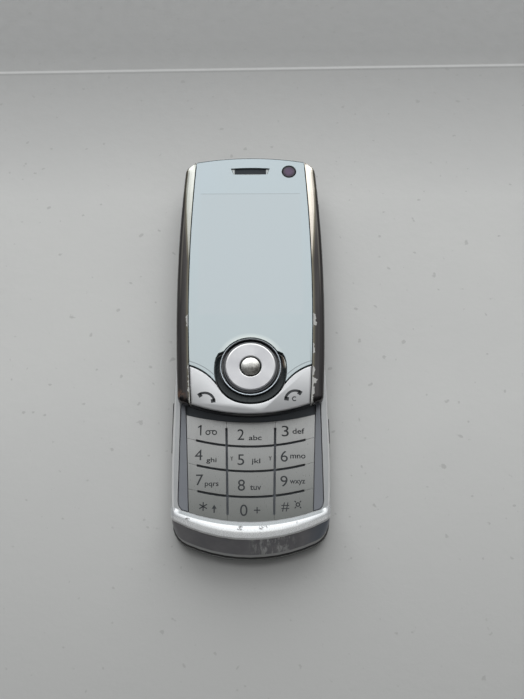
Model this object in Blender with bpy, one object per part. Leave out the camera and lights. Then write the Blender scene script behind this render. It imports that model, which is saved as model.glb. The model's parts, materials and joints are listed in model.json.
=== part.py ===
# Slider phone, shown open: the upper half stands above the keypad.
# Metres, +Z up. The origin is the centre of the lower half's flat back,
# +Y points to the earpiece end and +X to the right seen from the front.

import math
from collections import namedtuple

import bmesh
import bpy

MM = 0.001

# Driving sizes
GAP = 0.3 * MM                      # between pieces that touch
SIDE_GAP = 0.2 * MM                 # beside pieces that only move up and down
HAIRLINE = 0.12 * MM                # between neighbouring key tops
SHARP_STEP = 0.02 * MM              # how far a sharp step in a key's edge is spread
OVERRUN = 1.0 * MM                  # how far a cutter passes a face
BASE_LENGTH = 102.5 * MM
BASE_WIDTH = 47.7 * MM
SLIDER_LENGTH = 92.15 * MM
SLIDER_SETBACK = 0.15 * MM          # how far the slider's side lies inside the lower half's
RAIL_WIDTH = 3.85 * MM              # glass to the slider's side, at the widest place
TRAVEL = 32.0 * MM
CHIN_DEPTH = 9.4 * MM               # chin ridge to the lower end, on the centre line
RIDGE_CLEARANCE = 0.55 * MM         # shut slider to the chin ridge
SLIDER_WIDTH = BASE_WIDTH - 2 * SLIDER_SETBACK
GLASS_WIDTH = SLIDER_WIDTH - 2 * RAIL_WIDTH

# Heights of the lower half, from the back upwards
COVER_THICK = 0.8 * MM
BAY_Z = COVER_THICK + GAP
REAR_CASE_TOP = 3.4 * MM
FRONT_CASE_LOW = REAR_CASE_TOP + GAP
RIM_TOP = 6.9 * MM
GUIDE_THICK = 0.5 * MM
GUIDE_SUNK = 0.1 * MM
GUIDE_TOP = RIM_TOP - GUIDE_SUNK
GUIDE_LOW = GUIDE_TOP - GUIDE_THICK
HOOK_THICK = 0.5 * MM
HOOK_TOP = GUIDE_LOW - GAP
HOOK_LOW = HOOK_TOP - HOOK_THICK
KEY_SINK = 0.4 * MM                 # key tops below the rim
KEY_TOP = RIM_TOP - KEY_SINK
KEY_THICK = 0.8 * MM
KEY_LOW = KEY_TOP - KEY_THICK
MAT_TOP = KEY_LOW - GAP
MAT_THICK = 0.5 * MM
MAT_LOW = MAT_TOP - MAT_THICK       # underside of the mat's nibs
MAT_SKIN = 0.3 * MM
DOME_SHEET_THICK = 0.2 * MM
DOME_SHEET_TOP = MAT_LOW - GAP
DOME_SHEET_LOW = DOME_SHEET_TOP - DOME_SHEET_THICK
BOARD_THICK = 0.7 * MM
BOARD_TOP = DOME_SHEET_LOW - GAP
BOARD_LOW = BOARD_TOP - BOARD_THICK

# Heights of the upper half
SLIDER_LOW = RIM_TOP + GAP
SLIDER_THICK = 4.8 * MM
GLASS_TOP = SLIDER_LOW + SLIDER_THICK
GLASS_THICK = 0.8 * MM
GLASS_LOW = GLASS_TOP - GLASS_THICK
DECK_TOP = GLASS_LOW - GAP
DECK_THICK = 1.4 * MM
DECK_LOW = DECK_TOP - DECK_THICK
SLIDER_CASE_TOP = DECK_LOW - GAP
SLIDER_FLOOR = 1.0 * MM
SLIDER_FLOOR_TOP = SLIDER_LOW + SLIDER_FLOOR
SLIDER_BOARD_LOW = SLIDER_FLOOR_TOP + GAP
SLIDER_BOARD_THICK = 0.4 * MM
SLIDER_BOARD_TOP = SLIDER_BOARD_LOW + SLIDER_BOARD_THICK
MODULE_LOW = SLIDER_BOARD_TOP + GAP

# Outline of the lower half
BASE_LOW_Y = -BASE_LENGTH / 2
BASE_HIGH_Y = BASE_LENGTH / 2
BASE_WIDEST_Y = -18.0 * MM
BASE_TAPER_LOW = 1.5 * MM           # half width lost from the widest place to each end
BASE_TAPER_HIGH = 2.3 * MM
BASE_LOW_RADIUS = 47.0 * MM
BASE_HIGH_RADIUS = 80.0 * MM
BASE_LOW_CORNER = 7.0 * MM
BASE_HIGH_CORNER = 6.0 * MM

# Outline of the upper half at rest (open)
RIDGE_Y = BASE_LOW_Y + CHIN_DEPTH
RIDGE_RADIUS = 60.0 * MM
SLIDER_LOW_Y = RIDGE_Y + RIDGE_CLEARANCE + TRAVEL
SLIDER_HIGH_Y = SLIDER_LOW_Y + SLIDER_LENGTH
SLIDER_WIDEST_Y = (SLIDER_LOW_Y + SLIDER_HIGH_Y) / 2
SLIDER_TAPER_LOW = 1.75 * MM
SLIDER_TAPER_HIGH = 1.9 * MM
SLIDER_LOW_RADIUS = 53.0 * MM
SLIDER_HIGH_RADIUS = 100.0 * MM
SLIDER_LOW_CORNER = 1.8 * MM
SLIDER_HIGH_CORNER = 3.6 * MM
GLASS_TAPER_LOW = 2.0 * MM
GLASS_TAPER_HIGH = 1.6 * MM
TRIM_GAP = 0.2 * MM

Shape = namedtuple(
    "Shape",
    "half low high widest taper_low taper_high low_radius high_radius low_corner high_corner",
)
BASE = Shape(
    BASE_WIDTH / 2, BASE_LOW_Y, BASE_HIGH_Y, BASE_WIDEST_Y, BASE_TAPER_LOW, BASE_TAPER_HIGH,
    BASE_LOW_RADIUS, BASE_HIGH_RADIUS, BASE_LOW_CORNER, BASE_HIGH_CORNER,
)
SLIDER = Shape(
    SLIDER_WIDTH / 2, SLIDER_LOW_Y, SLIDER_HIGH_Y, SLIDER_WIDEST_Y, SLIDER_TAPER_LOW,
    SLIDER_TAPER_HIGH, SLIDER_LOW_RADIUS, SLIDER_HIGH_RADIUS, SLIDER_LOW_CORNER, SLIDER_HIGH_CORNER,
)
DECK_CORNER = 0.6 * MM
DECK = Shape(
    GLASS_WIDTH / 2, SLIDER_LOW_Y, SLIDER_HIGH_Y, SLIDER_WIDEST_Y, GLASS_TAPER_LOW, GLASS_TAPER_HIGH,
    SLIDER_LOW_RADIUS, SLIDER_HIGH_RADIUS, DECK_CORNER, DECK_CORNER,
)

# Counts of straight pieces along curved edges
END_STEPS = 10
CORNER_STEPS = 5
SIDE_STEPS = 10
ROUND_STEPS = 32
MIDDLE_ROUND_STEPS = 24
HEAD_STEPS = 16
HOLE_STEPS = 12
PASSES = 8                          # of the searches for a corner or a centre
SHARP_ANGLE = math.radians(32)


# Scene, materials and objects

def clear_scene():
    for old in list(bpy.data.objects):
        bpy.data.objects.remove(old, do_unlink=True)


def material(name, colour, roughness, metallic=0.0, alpha=1.0):
    made = bpy.data.materials.new(name)
    made.use_nodes = True
    shader = made.node_tree.nodes["Principled BSDF"]
    shader.inputs["Base Color"].default_value = (*colour, 1.0)
    shader.inputs["Roughness"].default_value = roughness
    shader.inputs["Metallic"].default_value = metallic
    shader.inputs["Alpha"].default_value = alpha
    made.diffuse_color = (*colour, alpha)
    return made


def add_object(name, mesh, pivot=None):
    made = bpy.data.objects.new(name, mesh)
    bpy.context.scene.collection.objects.link(made)
    if pivot is not None:
        for vertex in mesh.vertices:
            vertex.co.x -= pivot[0]
            vertex.co.y -= pivot[1]
            vertex.co.z -= pivot[2]
        made.location = pivot
    return made


def as_cutter(cutter):
    cutter.hide_render = True
    cutter.display_type = "WIRE"
    return cutter


def boolean(target, other, operation):
    modifier = target.modifiers.new(other.name, "BOOLEAN")
    modifier.operation = operation
    modifier.solver = "EXACT"
    modifier.object = as_cutter(other)


def cut(target, *cutters):
    for cutter in cutters:
        boolean(target, cutter, "DIFFERENCE")


def fuse(target, *others):
    for other in others:
        boolean(target, other, "UNION")


def finish(piece, colour_material):
    piece.data.materials.append(colour_material)
    piece.data.shade_smooth()
    piece.data.set_sharp_from_angle(angle=SHARP_ANGLE)
    return piece


# Shapes made from rings of points

def loft(name, rings, pivot=None, closed=False):
    """A solid through rings of equal length, capped unless the rings close on themselves."""
    shape = bmesh.new()
    made = [[shape.verts.new(point) for point in ring] for ring in rings]
    pairs = list(zip(made, made[1:]))
    if closed:
        pairs.append((made[-1], made[0]))
    for lower, upper in pairs:
        count = len(lower)
        for i in range(count):
            j = (i + 1) % count
            shape.faces.new((lower[i], lower[j], upper[j], upper[i]))
    if not closed:
        shape.faces.new(list(reversed(made[0])))
        shape.faces.new(made[-1])
    bmesh.ops.recalc_face_normals(shape, faces=shape.faces)
    mesh = bpy.data.meshes.new(name)
    shape.to_mesh(mesh)
    shape.free()
    return add_object(name, mesh, pivot)


def lofts(name, stacks):
    """Several lofts, clear of each other, in one object."""
    parts = [loft(name, rings) for rings in stacks]
    joined = parts[0]
    shape = bmesh.new()
    for part in parts:
        shape.from_mesh(part.data)
    shape.to_mesh(joined.data)
    shape.free()
    for part in parts[1:]:
        bpy.data.objects.remove(part, do_unlink=True)
    return joined


def at_height(points, z):
    return [(x, y, z) for x, y in points]


def through(name, points, low, high):
    return loft(name, [at_height(points, low), at_height(points, high)])


def offset_points(points, distance):
    """Move a counter-clockwise loop inwards by a distance, keeping its corners."""
    moved = []
    count = len(points)
    for i, (x, y) in enumerate(points):
        x0, y0 = points[i - 1]
        x1, y1 = points[(i + 1) % count]
        first = math.hypot(x - x0, y - y0)
        second = math.hypot(x1 - x, y1 - y)
        normal_a = (-(y - y0) / first, (x - x0) / first)
        normal_b = (-(y1 - y) / second, (x1 - x) / second)
        share = 1 + normal_a[0] * normal_b[0] + normal_a[1] * normal_b[1]
        moved.append((
            x + distance * (normal_a[0] + normal_b[0]) / share,
            y + distance * (normal_a[1] + normal_b[1]) / share,
        ))
    return moved


def plate(name, points, levels, pivot=None):
    """A flat piece with eased edges: each level is a height and how far its loop moves in."""
    rings = [at_height(offset_points(points, inset), z) for z, inset in levels]
    return loft(name, rings, pivot)


def box(name, low, high):
    corners = [(low[0], low[1]), (high[0], low[1]), (high[0], high[1]), (low[0], high[1])]
    return through(name, corners, low[2], high[2])


def circle(centre, radius, count=ROUND_STEPS):
    turn = 2 * math.pi / count
    return [
        (centre[0] + radius * math.cos(i * turn), centre[1] + radius * math.sin(i * turn))
        for i in range(count)
    ]


def disc(name, centre, radius, low, high, count=ROUND_STEPS):
    return through(name, circle(centre, radius, count), low, high)


def turned(name, centre, profile, count=ROUND_STEPS, pivot=None, closed=False):
    """A round piece: the profile is (radius, height) pairs from the bottom upwards."""
    rings = [at_height(circle(centre, radius, count), z) for radius, z in profile]
    return loft(name, rings, pivot, closed)


def rounded_box_loop(low, high, radius, steps=3):
    loop = []
    corners = [
        (high[0] - radius, low[1] + radius, -math.pi / 2),
        (high[0] - radius, high[1] - radius, 0.0),
        (low[0] + radius, high[1] - radius, math.pi / 2),
        (low[0] + radius, low[1] + radius, math.pi),
    ]
    for x, y, start in corners:
        for i in range(steps + 1):
            angle = start + math.pi / 2 * i / steps
            loop.append((x + radius * math.cos(angle), y + radius * math.sin(angle)))
    return loop


# Outlines of the two halves

def half_width(shape, y):
    if y > shape.widest:
        share = (y - shape.widest) / (shape.high - shape.widest)
        return shape.half - shape.taper_high * share * share
    share = (shape.widest - y) / (shape.widest - shape.low)
    return shape.half - shape.taper_low * share * share


def arc_y(low_y, radius, x):
    """Height on a lower edge whose arc bows downwards."""
    return low_y + radius - math.sqrt(radius * radius - x * x)


def corner_centre(shape, low, radius, corner):
    x = shape.half - corner
    y = low
    for _ in range(PASSES):
        y = low + radius - math.sqrt((radius - corner) ** 2 - x * x)
        x = half_width(shape, y) - corner
    return x, y


def outline(shape, inset=0.0, low_end=0.0, side=0.0):
    """Counter-clockwise loop. low_end and side draw the lower end and the sides further in."""
    narrow = shape._replace(half=shape.half - side)
    low = shape.low + low_end
    low_x, low_y = corner_centre(narrow, low, shape.low_radius, shape.low_corner)
    mirrored = narrow._replace(
        low=-shape.high, high=-shape.low, widest=-shape.widest,
        taper_low=shape.taper_high, taper_high=shape.taper_low,
    )
    high_x, high_y = corner_centre(mirrored, -shape.high, shape.high_radius, shape.high_corner)
    high_y = -high_y
    low_angle = math.asin(low_x / (shape.low_radius - shape.low_corner))
    high_angle = math.asin(high_x / (shape.high_radius - shape.high_corner))
    right = []
    for i in range(END_STEPS // 2 + 1):
        angle = low_angle * i / (END_STEPS // 2)
        reach = shape.low_radius - inset
        right.append((reach * math.sin(angle), low + shape.low_radius - reach * math.cos(angle)))
    for i in range(1, CORNER_STEPS + 1):
        angle = low_angle + (math.pi / 2 - low_angle) * i / CORNER_STEPS
        reach = shape.low_corner - inset
        right.append((low_x + reach * math.sin(angle), low_y - reach * math.cos(angle)))
    for i in range(1, SIDE_STEPS):
        y = low_y + (high_y - low_y) * i / SIDE_STEPS
        right.append((half_width(narrow, y) - inset, y))
    for i in range(CORNER_STEPS + 1):
        angle = math.pi / 2 - (math.pi / 2 - high_angle) * i / CORNER_STEPS
        reach = shape.high_corner - inset
        right.append((high_x + reach * math.sin(angle), high_y + reach * math.cos(angle)))
    for i in range(1, END_STEPS // 2 + 1):
        angle = high_angle * (1 - i / (END_STEPS // 2))
        reach = shape.high_radius - inset
        right.append((reach * math.sin(angle), shape.high - shape.high_radius + reach * math.cos(angle)))
    left = [(-x, y) for x, y in reversed(right[1:-1])]
    return right + left


def outline_rings(shape, levels):
    return [at_height(outline(shape, inset), z) for z, inset in levels]


def arc_band(name, radius, low_y, reach, low, high, up=True):
    """A cutter bounded by an arc that bows downwards, above it or below it."""
    steps = END_STEPS
    half = BASE_WIDTH / 2 + OVERRUN
    arc = [
        (half * (2 * i / steps - 1), arc_y(low_y, radius, half * (2 * i / steps - 1)))
        for i in range(steps + 1)
    ]
    far = low_y + reach if up else low_y - reach
    if up:
        loop = arc + [(half, far), (-half, far)]
    else:
        loop = [(-half, far), (half, far)] + list(reversed(arc))
    return through(name, loop, low, high)


# Lower half: cases, chin and battery

CASE_EDGE_Z = (0.35 * MM, 1.0 * MM, 1.6 * MM)
CASE_EDGE_INSET = (1.2 * MM, 0.5 * MM, 0.12 * MM)
BATTERY_SIDE = 6.85 * MM            # battery to the widest side
BATTERY_WIDTH = BASE_WIDTH - 2 * BATTERY_SIDE
BATTERY_LENGTH = 48.0 * MM
BATTERY_THICK = 3.0 * MM
BATTERY_END = 8.75 * MM
BATTERY_HIGH_Y = BASE_HIGH_Y - BATTERY_END
BATTERY_LOW_Y = BATTERY_HIGH_Y - BATTERY_LENGTH
BATTERY_CORNER = 1.0 * MM
BATTERY_TOP = BAY_Z + BATTERY_THICK
COVER_TAIL = 18.5 * MM              # cover's end beyond the battery
COVER_LOW_Y = BATTERY_LOW_Y - COVER_TAIL
COVER_LAND = 1.6 * MM               # case left below the cover's end
BAY_WALL = 3.25 * MM                # round the electronics bay under the keypad
BAY_HALF = BASE_WIDTH / 2 - BAY_WALL
BAY_END = 7.75 * MM
BATTERY_WALL = 1.8 * MM             # between the two bays
BAY_LOW_Y = BASE_LOW_Y + BAY_END
BAY_HIGH_Y = BATTERY_LOW_Y - BATTERY_WALL
DEEP_BAY_HIGH_Y = COVER_LOW_Y - COVER_LAND
CHIN_FLOOR_TOP = 0.8 * MM
COVERED_FLOOR = 0.5 * MM
COVERED_FLOOR_TOP = BAY_Z + COVERED_FLOOR
RIB_HALF = 0.3 * MM
RIB_BATTERY_GAP = 1.6 * MM
RIB_X = BATTERY_WIDTH / 2 + RIB_BATTERY_GAP
RIB_LENGTH = 4.0 * MM
RIB_RISE = 15.5 * MM
RIB_LOW_Y = BATTERY_LOW_Y + RIB_RISE
RIB_TOP = 1.6 * MM
COVER_TRAVEL = 8.0 * MM
SCREW_SIDE = 3.65 * MM
SCREW_X = BASE_WIDTH / 2 - SCREW_SIDE
SCREW_RISE = 6.5 * MM               # battery's ends to the screws
SCREW_DROP = 4.5 * MM
SCREW_YS = (BATTERY_LOW_Y + SCREW_RISE, BATTERY_HIGH_Y - SCREW_DROP)
SCREW_HEAD_RADIUS = 1.3 * MM
SCREW_HEAD_HEIGHT = 0.5 * MM
SCREW_SHANK_RADIUS = 0.6 * MM
SCREW_THREAD_GAP = 0.1 * MM
SCREW_TOP = 4.5 * MM
SOCKET_HALF = 5.0 * MM
SOCKET_SETBACK = 0.7 * MM
SOCKET_DEPTH = 6.35 * MM
SOCKET_LOW_Y = BASE_LOW_Y + SOCKET_SETBACK
SOCKET_HIGH_Y = SOCKET_LOW_Y + SOCKET_DEPTH
SOCKET_ROOF = 0.5 * MM              # case left over the connector
SOCKET_LOW = CHIN_FLOOR_TOP + GAP
SOCKET_TOP = REAR_CASE_TOP - SOCKET_ROOF - GAP
SOCKET_WALL = 0.35 * MM             # round the connector's mouth
SOCKET_MOUTH = 3.5 * MM             # depth of the mouth
SOCKET_TONGUE = 0.3 * MM
SOCKET_TONGUE_SETBACK = 0.6 * MM

RIM_FOOT_Z = (0.5 * MM, 1.3 * MM)
RIM_FOOT_INSET = (0.6 * MM, 0.2 * MM)
RIM_EDGE_DROP = (0.6 * MM, 0.15 * MM)
RIM_EDGE_INSET = (0.25 * MM, 0.7 * MM)
RIM_LEVELS = (
    (FRONT_CASE_LOW, RIM_FOOT_INSET[0]), (FRONT_CASE_LOW + RIM_FOOT_Z[0], RIM_FOOT_INSET[1]),
    (FRONT_CASE_LOW + RIM_FOOT_Z[1], 0.0), (RIM_TOP - RIM_EDGE_DROP[0], 0.0),
    (RIM_TOP - RIM_EDGE_DROP[1], RIM_EDGE_INSET[0]), (RIM_TOP, RIM_EDGE_INSET[1]),
)
BOARD_ROOF = BOARD_TOP + GAP
KEYPAD_FLOOR = MAT_TOP - MAT_SKIN - GAP
GUIDE_SIDE = 4.85 * MM
GUIDE_HALF = BASE_WIDTH / 2 - GUIDE_SIDE
GUIDE_END = 7.05 * MM
GUIDE_HIGH_Y = BASE_HIGH_Y - GUIDE_END
HOOK_LENGTH = 14.0 * MM
HOOK_HIGH_Y = GUIDE_HIGH_Y - GAP
GUIDE_LOW_Y = HOOK_HIGH_Y - HOOK_LENGTH - TRAVEL - GAP
GUIDE_CORNER = 0.6 * MM
GROOVE_INWARD = 2.3 * MM            # groove's sides from the guide plate's edge
GROOVE_OUTWARD = 1.2 * MM
GROOVE_INNER = GUIDE_HALF - GROOVE_INWARD
GROOVE_OUTER = GUIDE_HALF + GROOVE_OUTWARD
STAKE_RADIUS = 0.8 * MM
STAKE_SIDE = 4.7 * MM
STAKE_RISE = 5.4 * MM
STAKE_DROP = 7.2 * MM
STAKE_X = GROOVE_INNER - STAKE_SIDE
STAKE_YS = (GUIDE_LOW_Y + STAKE_RISE, GUIDE_HIGH_Y - STAKE_DROP)
STAKE_ROOT = 0.6 * MM
GUIDE_LIGHTENING = 8.0 * MM         # width of the guide plate's long window
GUIDE_LIGHTENING_END = 8.0 * MM
GUIDE_LIGHTENING_CORNER = 2.7 * MM
RECESS_LAND = 0.8 * MM              # case left between the keypad and the guide plate
RECESS_HIGH_Y = GUIDE_LOW_Y - GAP - RECESS_LAND

CHIN_FOOT = 0.5 * MM                # height of the dark face's eased foot
CHIN_FOOT_IN = 0.1 * MM
CHIN_FOOT_INSET = (0.6 * MM, 0.4 * MM)
CHIN_BEND_Z = 7.2 * MM              # where the dark face bends, and how far in
CHIN_BEND_IN = 2.3 * MM
CHIN_BEND_SIDE = 0.1 * MM
CHIN_BEND_CORNER = 4.6 * MM
CHIN_FACE_TOP = 9.9 * MM
CHIN_FRONT = 4.4 * MM               # lower end to the top of the dark face
CHIN_FACE_SIDE = 0.2 * MM
CHIN_CORNER = 2.0 * MM
CHIN_TOP = 11.6 * MM
CHIN_CAP_FALL = 1.25 * MM
CHIN_CAP_SIDE = 2.0 * MM
CHIN_CAP_SHARES = (                 # of the fall from the top, the way to the ridge, the side
    (0.44, 0.04, 0.1), (0.28, 0.08, 0.2), (0.04, 0.33, 0.4), (0.0, 0.41, 0.5), (0.08, 0.5, 0.6),
    (0.36, 0.77, 0.75), (0.92, 1.0, 0.9),
)
CHIN_CAP_FOOT_SHARES = (0.01, 0.05)
ANTENNA_HALF = 12.7 * MM
ANTENNA_DEPTH = 2.0 * MM
ANTENNA_HIGH_Y = BAY_LOW_Y
ANTENNA_LOW_Y = ANTENNA_HIGH_Y - ANTENNA_DEPTH
ANTENNA_TOP = 7.2 * MM


def case_levels(top, steps):
    heights = (0.0,) + CASE_EDGE_Z
    insets = CASE_EDGE_INSET + (0.0,)
    levels = list(zip(heights, insets))[:steps]
    return levels + [(top, insets[min(steps, len(insets) - 1)])]


def battery_box(name, clearance, low, high):
    points = rounded_box_loop(
        (-BATTERY_WIDTH / 2 - clearance, BATTERY_LOW_Y - clearance),
        (BATTERY_WIDTH / 2 + clearance, BATTERY_LOW_Y + BATTERY_LENGTH + clearance),
        BATTERY_CORNER,
    )
    return through(name, points, low, high)


def screw_places():
    return [(side * SCREW_X, y) for y in SCREW_YS for side in (-1, 1)]


def speaker_slots(name, low, high):
    """Five short slots through the back under the loudspeaker, in one cutter."""
    middle_x = (SPEAKER_LOW[0] + SPEAKER_HIGH[0]) / 2
    middle_y = (SPEAKER_LOW[1] + SPEAKER_HIGH[1]) / 2
    loops = []
    for i in range(SPEAKER_SLOTS):
        x = middle_x + (i - (SPEAKER_SLOTS - 1) / 2) * SPEAKER_PITCH
        loops.append(rounded_box_loop(
            (x - SPEAKER_SLOT_WIDTH / 2, middle_y - SPEAKER_SLOT_LENGTH / 2),
            (x + SPEAKER_SLOT_WIDTH / 2, middle_y + SPEAKER_SLOT_LENGTH / 2), SPEAKER_SLOT_WIDTH / 2,
        ))
    return lofts(name, [[at_height(loop, low), at_height(loop, high)] for loop in loops])


def make_rear_case(plastic):
    case = loft("rear_case", outline_rings(BASE, case_levels(REAR_CASE_TOP, 4)))
    half = BASE_WIDTH / 2 + OVERRUN
    cut(
        case,
        box("cut_cover_step", (-half, COVER_LOW_Y - GAP, -OVERRUN),
            (half, BASE_HIGH_Y + OVERRUN, BAY_Z)),
        battery_box("cut_battery_bay", GAP, -OVERRUN, REAR_CASE_TOP + OVERRUN),
        box("cut_bay_low", (-BAY_HALF, BAY_LOW_Y, CHIN_FLOOR_TOP),
            (BAY_HALF, DEEP_BAY_HIGH_Y, REAR_CASE_TOP + OVERRUN)),
        box("cut_bay_high", (-BAY_HALF, DEEP_BAY_HIGH_Y - OVERRUN, COVERED_FLOOR_TOP),
            (BAY_HALF, BAY_HIGH_Y, REAR_CASE_TOP + 2 * OVERRUN)),
        box("cut_socket", (-SOCKET_HALF - GAP, BASE_LOW_Y - OVERRUN, SOCKET_LOW - GAP),
            (SOCKET_HALF + GAP, BAY_LOW_Y + OVERRUN, SOCKET_TOP + GAP)),
        speaker_slots("cut_speaker_slots", -OVERRUN, CHIN_FLOOR_TOP + OVERRUN),
    )
    for i, (x, y) in enumerate(screw_places()):
        cut(
            case,
            disc(f"cut_head_{i}", (x, y), SCREW_HEAD_RADIUS + GAP, -OVERRUN,
                 BAY_Z + SCREW_HEAD_HEIGHT + GAP, HEAD_STEPS),
            disc(f"cut_shank_{i}", (x, y), SCREW_SHANK_RADIUS + GAP, -OVERRUN / 2,
                 REAR_CASE_TOP + OVERRUN, HOLE_STEPS),
        )
    for side in (-1, 1):
        reach = RIB_HALF + GAP
        cut(case, box(
            f"cut_rib_slot_{side}", (side * RIB_X - reach, RIB_LOW_Y - GAP, -OVERRUN),
            (side * RIB_X + reach, RIB_LOW_Y + RIB_LENGTH + COVER_TRAVEL + GAP, RIB_TOP + GAP),
        ))
    return finish(case, plastic)


def make_battery_cover(plastic):
    cover = loft("battery_cover", outline_rings(BASE, case_levels(COVER_THICK, 2)))
    half = BASE_WIDTH / 2 + OVERRUN
    cut(cover, box("cut_cover_end", (-half, BASE_LOW_Y - OVERRUN, -OVERRUN),
                   (half, COVER_LOW_Y, COVER_THICK + OVERRUN)))
    for side in (-1, 1):
        fuse(cover, box(
            f"cover_rib_{side}", (side * RIB_X - RIB_HALF, RIB_LOW_Y, COVER_THICK / 2),
            (side * RIB_X + RIB_HALF, RIB_LOW_Y + RIB_LENGTH, RIB_TOP),
        ))
    return finish(cover, plastic)


def make_battery(label):
    return finish(battery_box("battery", 0.0, BAY_Z, BATTERY_TOP), label)


def cornered_arc(half, low_y, grow):
    """The keypad's lower edge from left to right, an arc with a rounded corner up to each side."""
    reach = half - STRIP_CORNER_WIDTH
    right = []
    for i in range(END_STEPS // 2 + 1):
        x = reach * i / (END_STEPS // 2)
        right.append((x, arc_y(low_y, SHEET_LOW_RADIUS, x) - grow))
    for i in range(1, CORNER_STEPS + 1):
        angle = math.pi / 2 * i / CORNER_STEPS
        right.append((
            reach + (STRIP_CORNER_WIDTH + grow) * math.sin(angle),
            arc_y(low_y, SHEET_LOW_RADIUS, reach) + STRIP_CORNER_LENGTH
            - (STRIP_CORNER_LENGTH + grow) * math.cos(angle),
        ))
    return [(-x, y) for x, y in reversed(right[1:])] + right


def keypad_recess(name, low, high):
    """The sunk area that holds the keys and the strips beside them."""
    lower = cornered_arc(STRIP_OUTER, SHEET_LOW_Y, SIDE_GAP)
    half = STRIP_OUTER + SIDE_GAP
    return through(name, lower + [(half, RECESS_HIGH_Y), (-half, RECESS_HIGH_Y)], low, high)


def make_front_case(silver):
    case = loft("front_case", outline_rings(BASE, RIM_LEVELS))
    over = RIM_TOP + OVERRUN
    under = FRONT_CASE_LOW - OVERRUN
    cut(
        case,
        arc_band("cut_chin_place", RIDGE_RADIUS, RIDGE_Y + GAP, CHIN_DEPTH * 2, under, over, up=False),
        battery_box("cut_battery_roof", GAP, under, BATTERY_TOP + GAP),
        box("cut_board_roof", (-BAY_HALF, BAY_LOW_Y - OVERRUN, under),
            (BAY_HALF, BAY_HIGH_Y, BOARD_ROOF)),
        keypad_recess("cut_keypad", KEYPAD_FLOOR, over),
        through("cut_dome_window", dome_loop(GAP), under - OVERRUN, over - OVERRUN / 2),
        box("cut_guide_place", (-GUIDE_HALF - GAP, GUIDE_LOW_Y - GAP, GUIDE_LOW - GAP),
            (GUIDE_HALF + GAP, GUIDE_HIGH_Y + GAP, over)),
    )
    for side in (-1, 1):
        edges = sorted((side * GROOVE_INNER, side * GROOVE_OUTER))
        cut(case, box(
            f"cut_groove_{side}", (edges[0], GUIDE_LOW_Y - GAP / 2, HOOK_LOW - GAP),
            (edges[1], GUIDE_HIGH_Y + GAP / 2, over + OVERRUN),
        ))
    for i, (x, y) in enumerate(screw_places()):
        cut(case, disc(f"cut_thread_{i}", (x, y), SCREW_SHANK_RADIUS + SCREW_THREAD_GAP, under,
                       SCREW_TOP + GAP, HOLE_STEPS))
    for i, (x, y) in enumerate(stake_places()):
        fuse(case, disc(f"guide_stake_{i}", (x, y), STAKE_RADIUS, GUIDE_LOW - STAKE_ROOT,
                        GUIDE_TOP, HOLE_STEPS))
    cut(
        case,
        box("cut_rocker", (-BASE_WIDTH, ROCKER_Y - ROCKER_LENGTH / 2 - GAP, SIDE_KEY_LOW - GAP),
            (-SIDE_KEY_INNER + GAP, ROCKER_Y + ROCKER_LENGTH / 2 + GAP, SIDE_KEY_TOP + GAP)),
        box("cut_camera_key",
            (SIDE_KEY_INNER - GAP, CAMERA_KEY_Y - CAMERA_KEY_LENGTH / 2 - GAP, SIDE_KEY_LOW - GAP),
            (BASE_WIDTH, CAMERA_KEY_Y + CAMERA_KEY_LENGTH / 2 + GAP, SIDE_KEY_TOP + GAP)),
    )
    return finish(case, silver)


def stake_places():
    return [(side * STAKE_X, y) for y in STAKE_YS for side in (-1, 1)]


def make_guide_plate(steel):
    loop = rounded_box_loop((-GUIDE_HALF, GUIDE_LOW_Y), (GUIDE_HALF, GUIDE_HIGH_Y), GUIDE_CORNER)
    guide = through("guide_plate", loop, GUIDE_LOW, GUIDE_TOP)
    for i, (x, y) in enumerate(stake_places()):
        cut(guide, disc(f"cut_stake_{i}", (x, y), STAKE_RADIUS + GAP, GUIDE_LOW - OVERRUN,
                        GUIDE_TOP + OVERRUN, HEAD_STEPS))
    window = rounded_box_loop(
        (-GUIDE_LIGHTENING / 2, GUIDE_LOW_Y + GUIDE_LIGHTENING_END),
        (GUIDE_LIGHTENING / 2, GUIDE_HIGH_Y - GUIDE_LIGHTENING_END), GUIDE_LIGHTENING_CORNER,
    )
    cut(guide, through("cut_guide_window", window, GUIDE_LOW - OVERRUN, GUIDE_TOP + OVERRUN))
    return finish(guide, steel)


def chin_ring(z, low_end, side, inset=0.0, corner=CHIN_CORNER):
    return at_height(outline(BASE._replace(low_corner=corner), inset, low_end, side), z)


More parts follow.
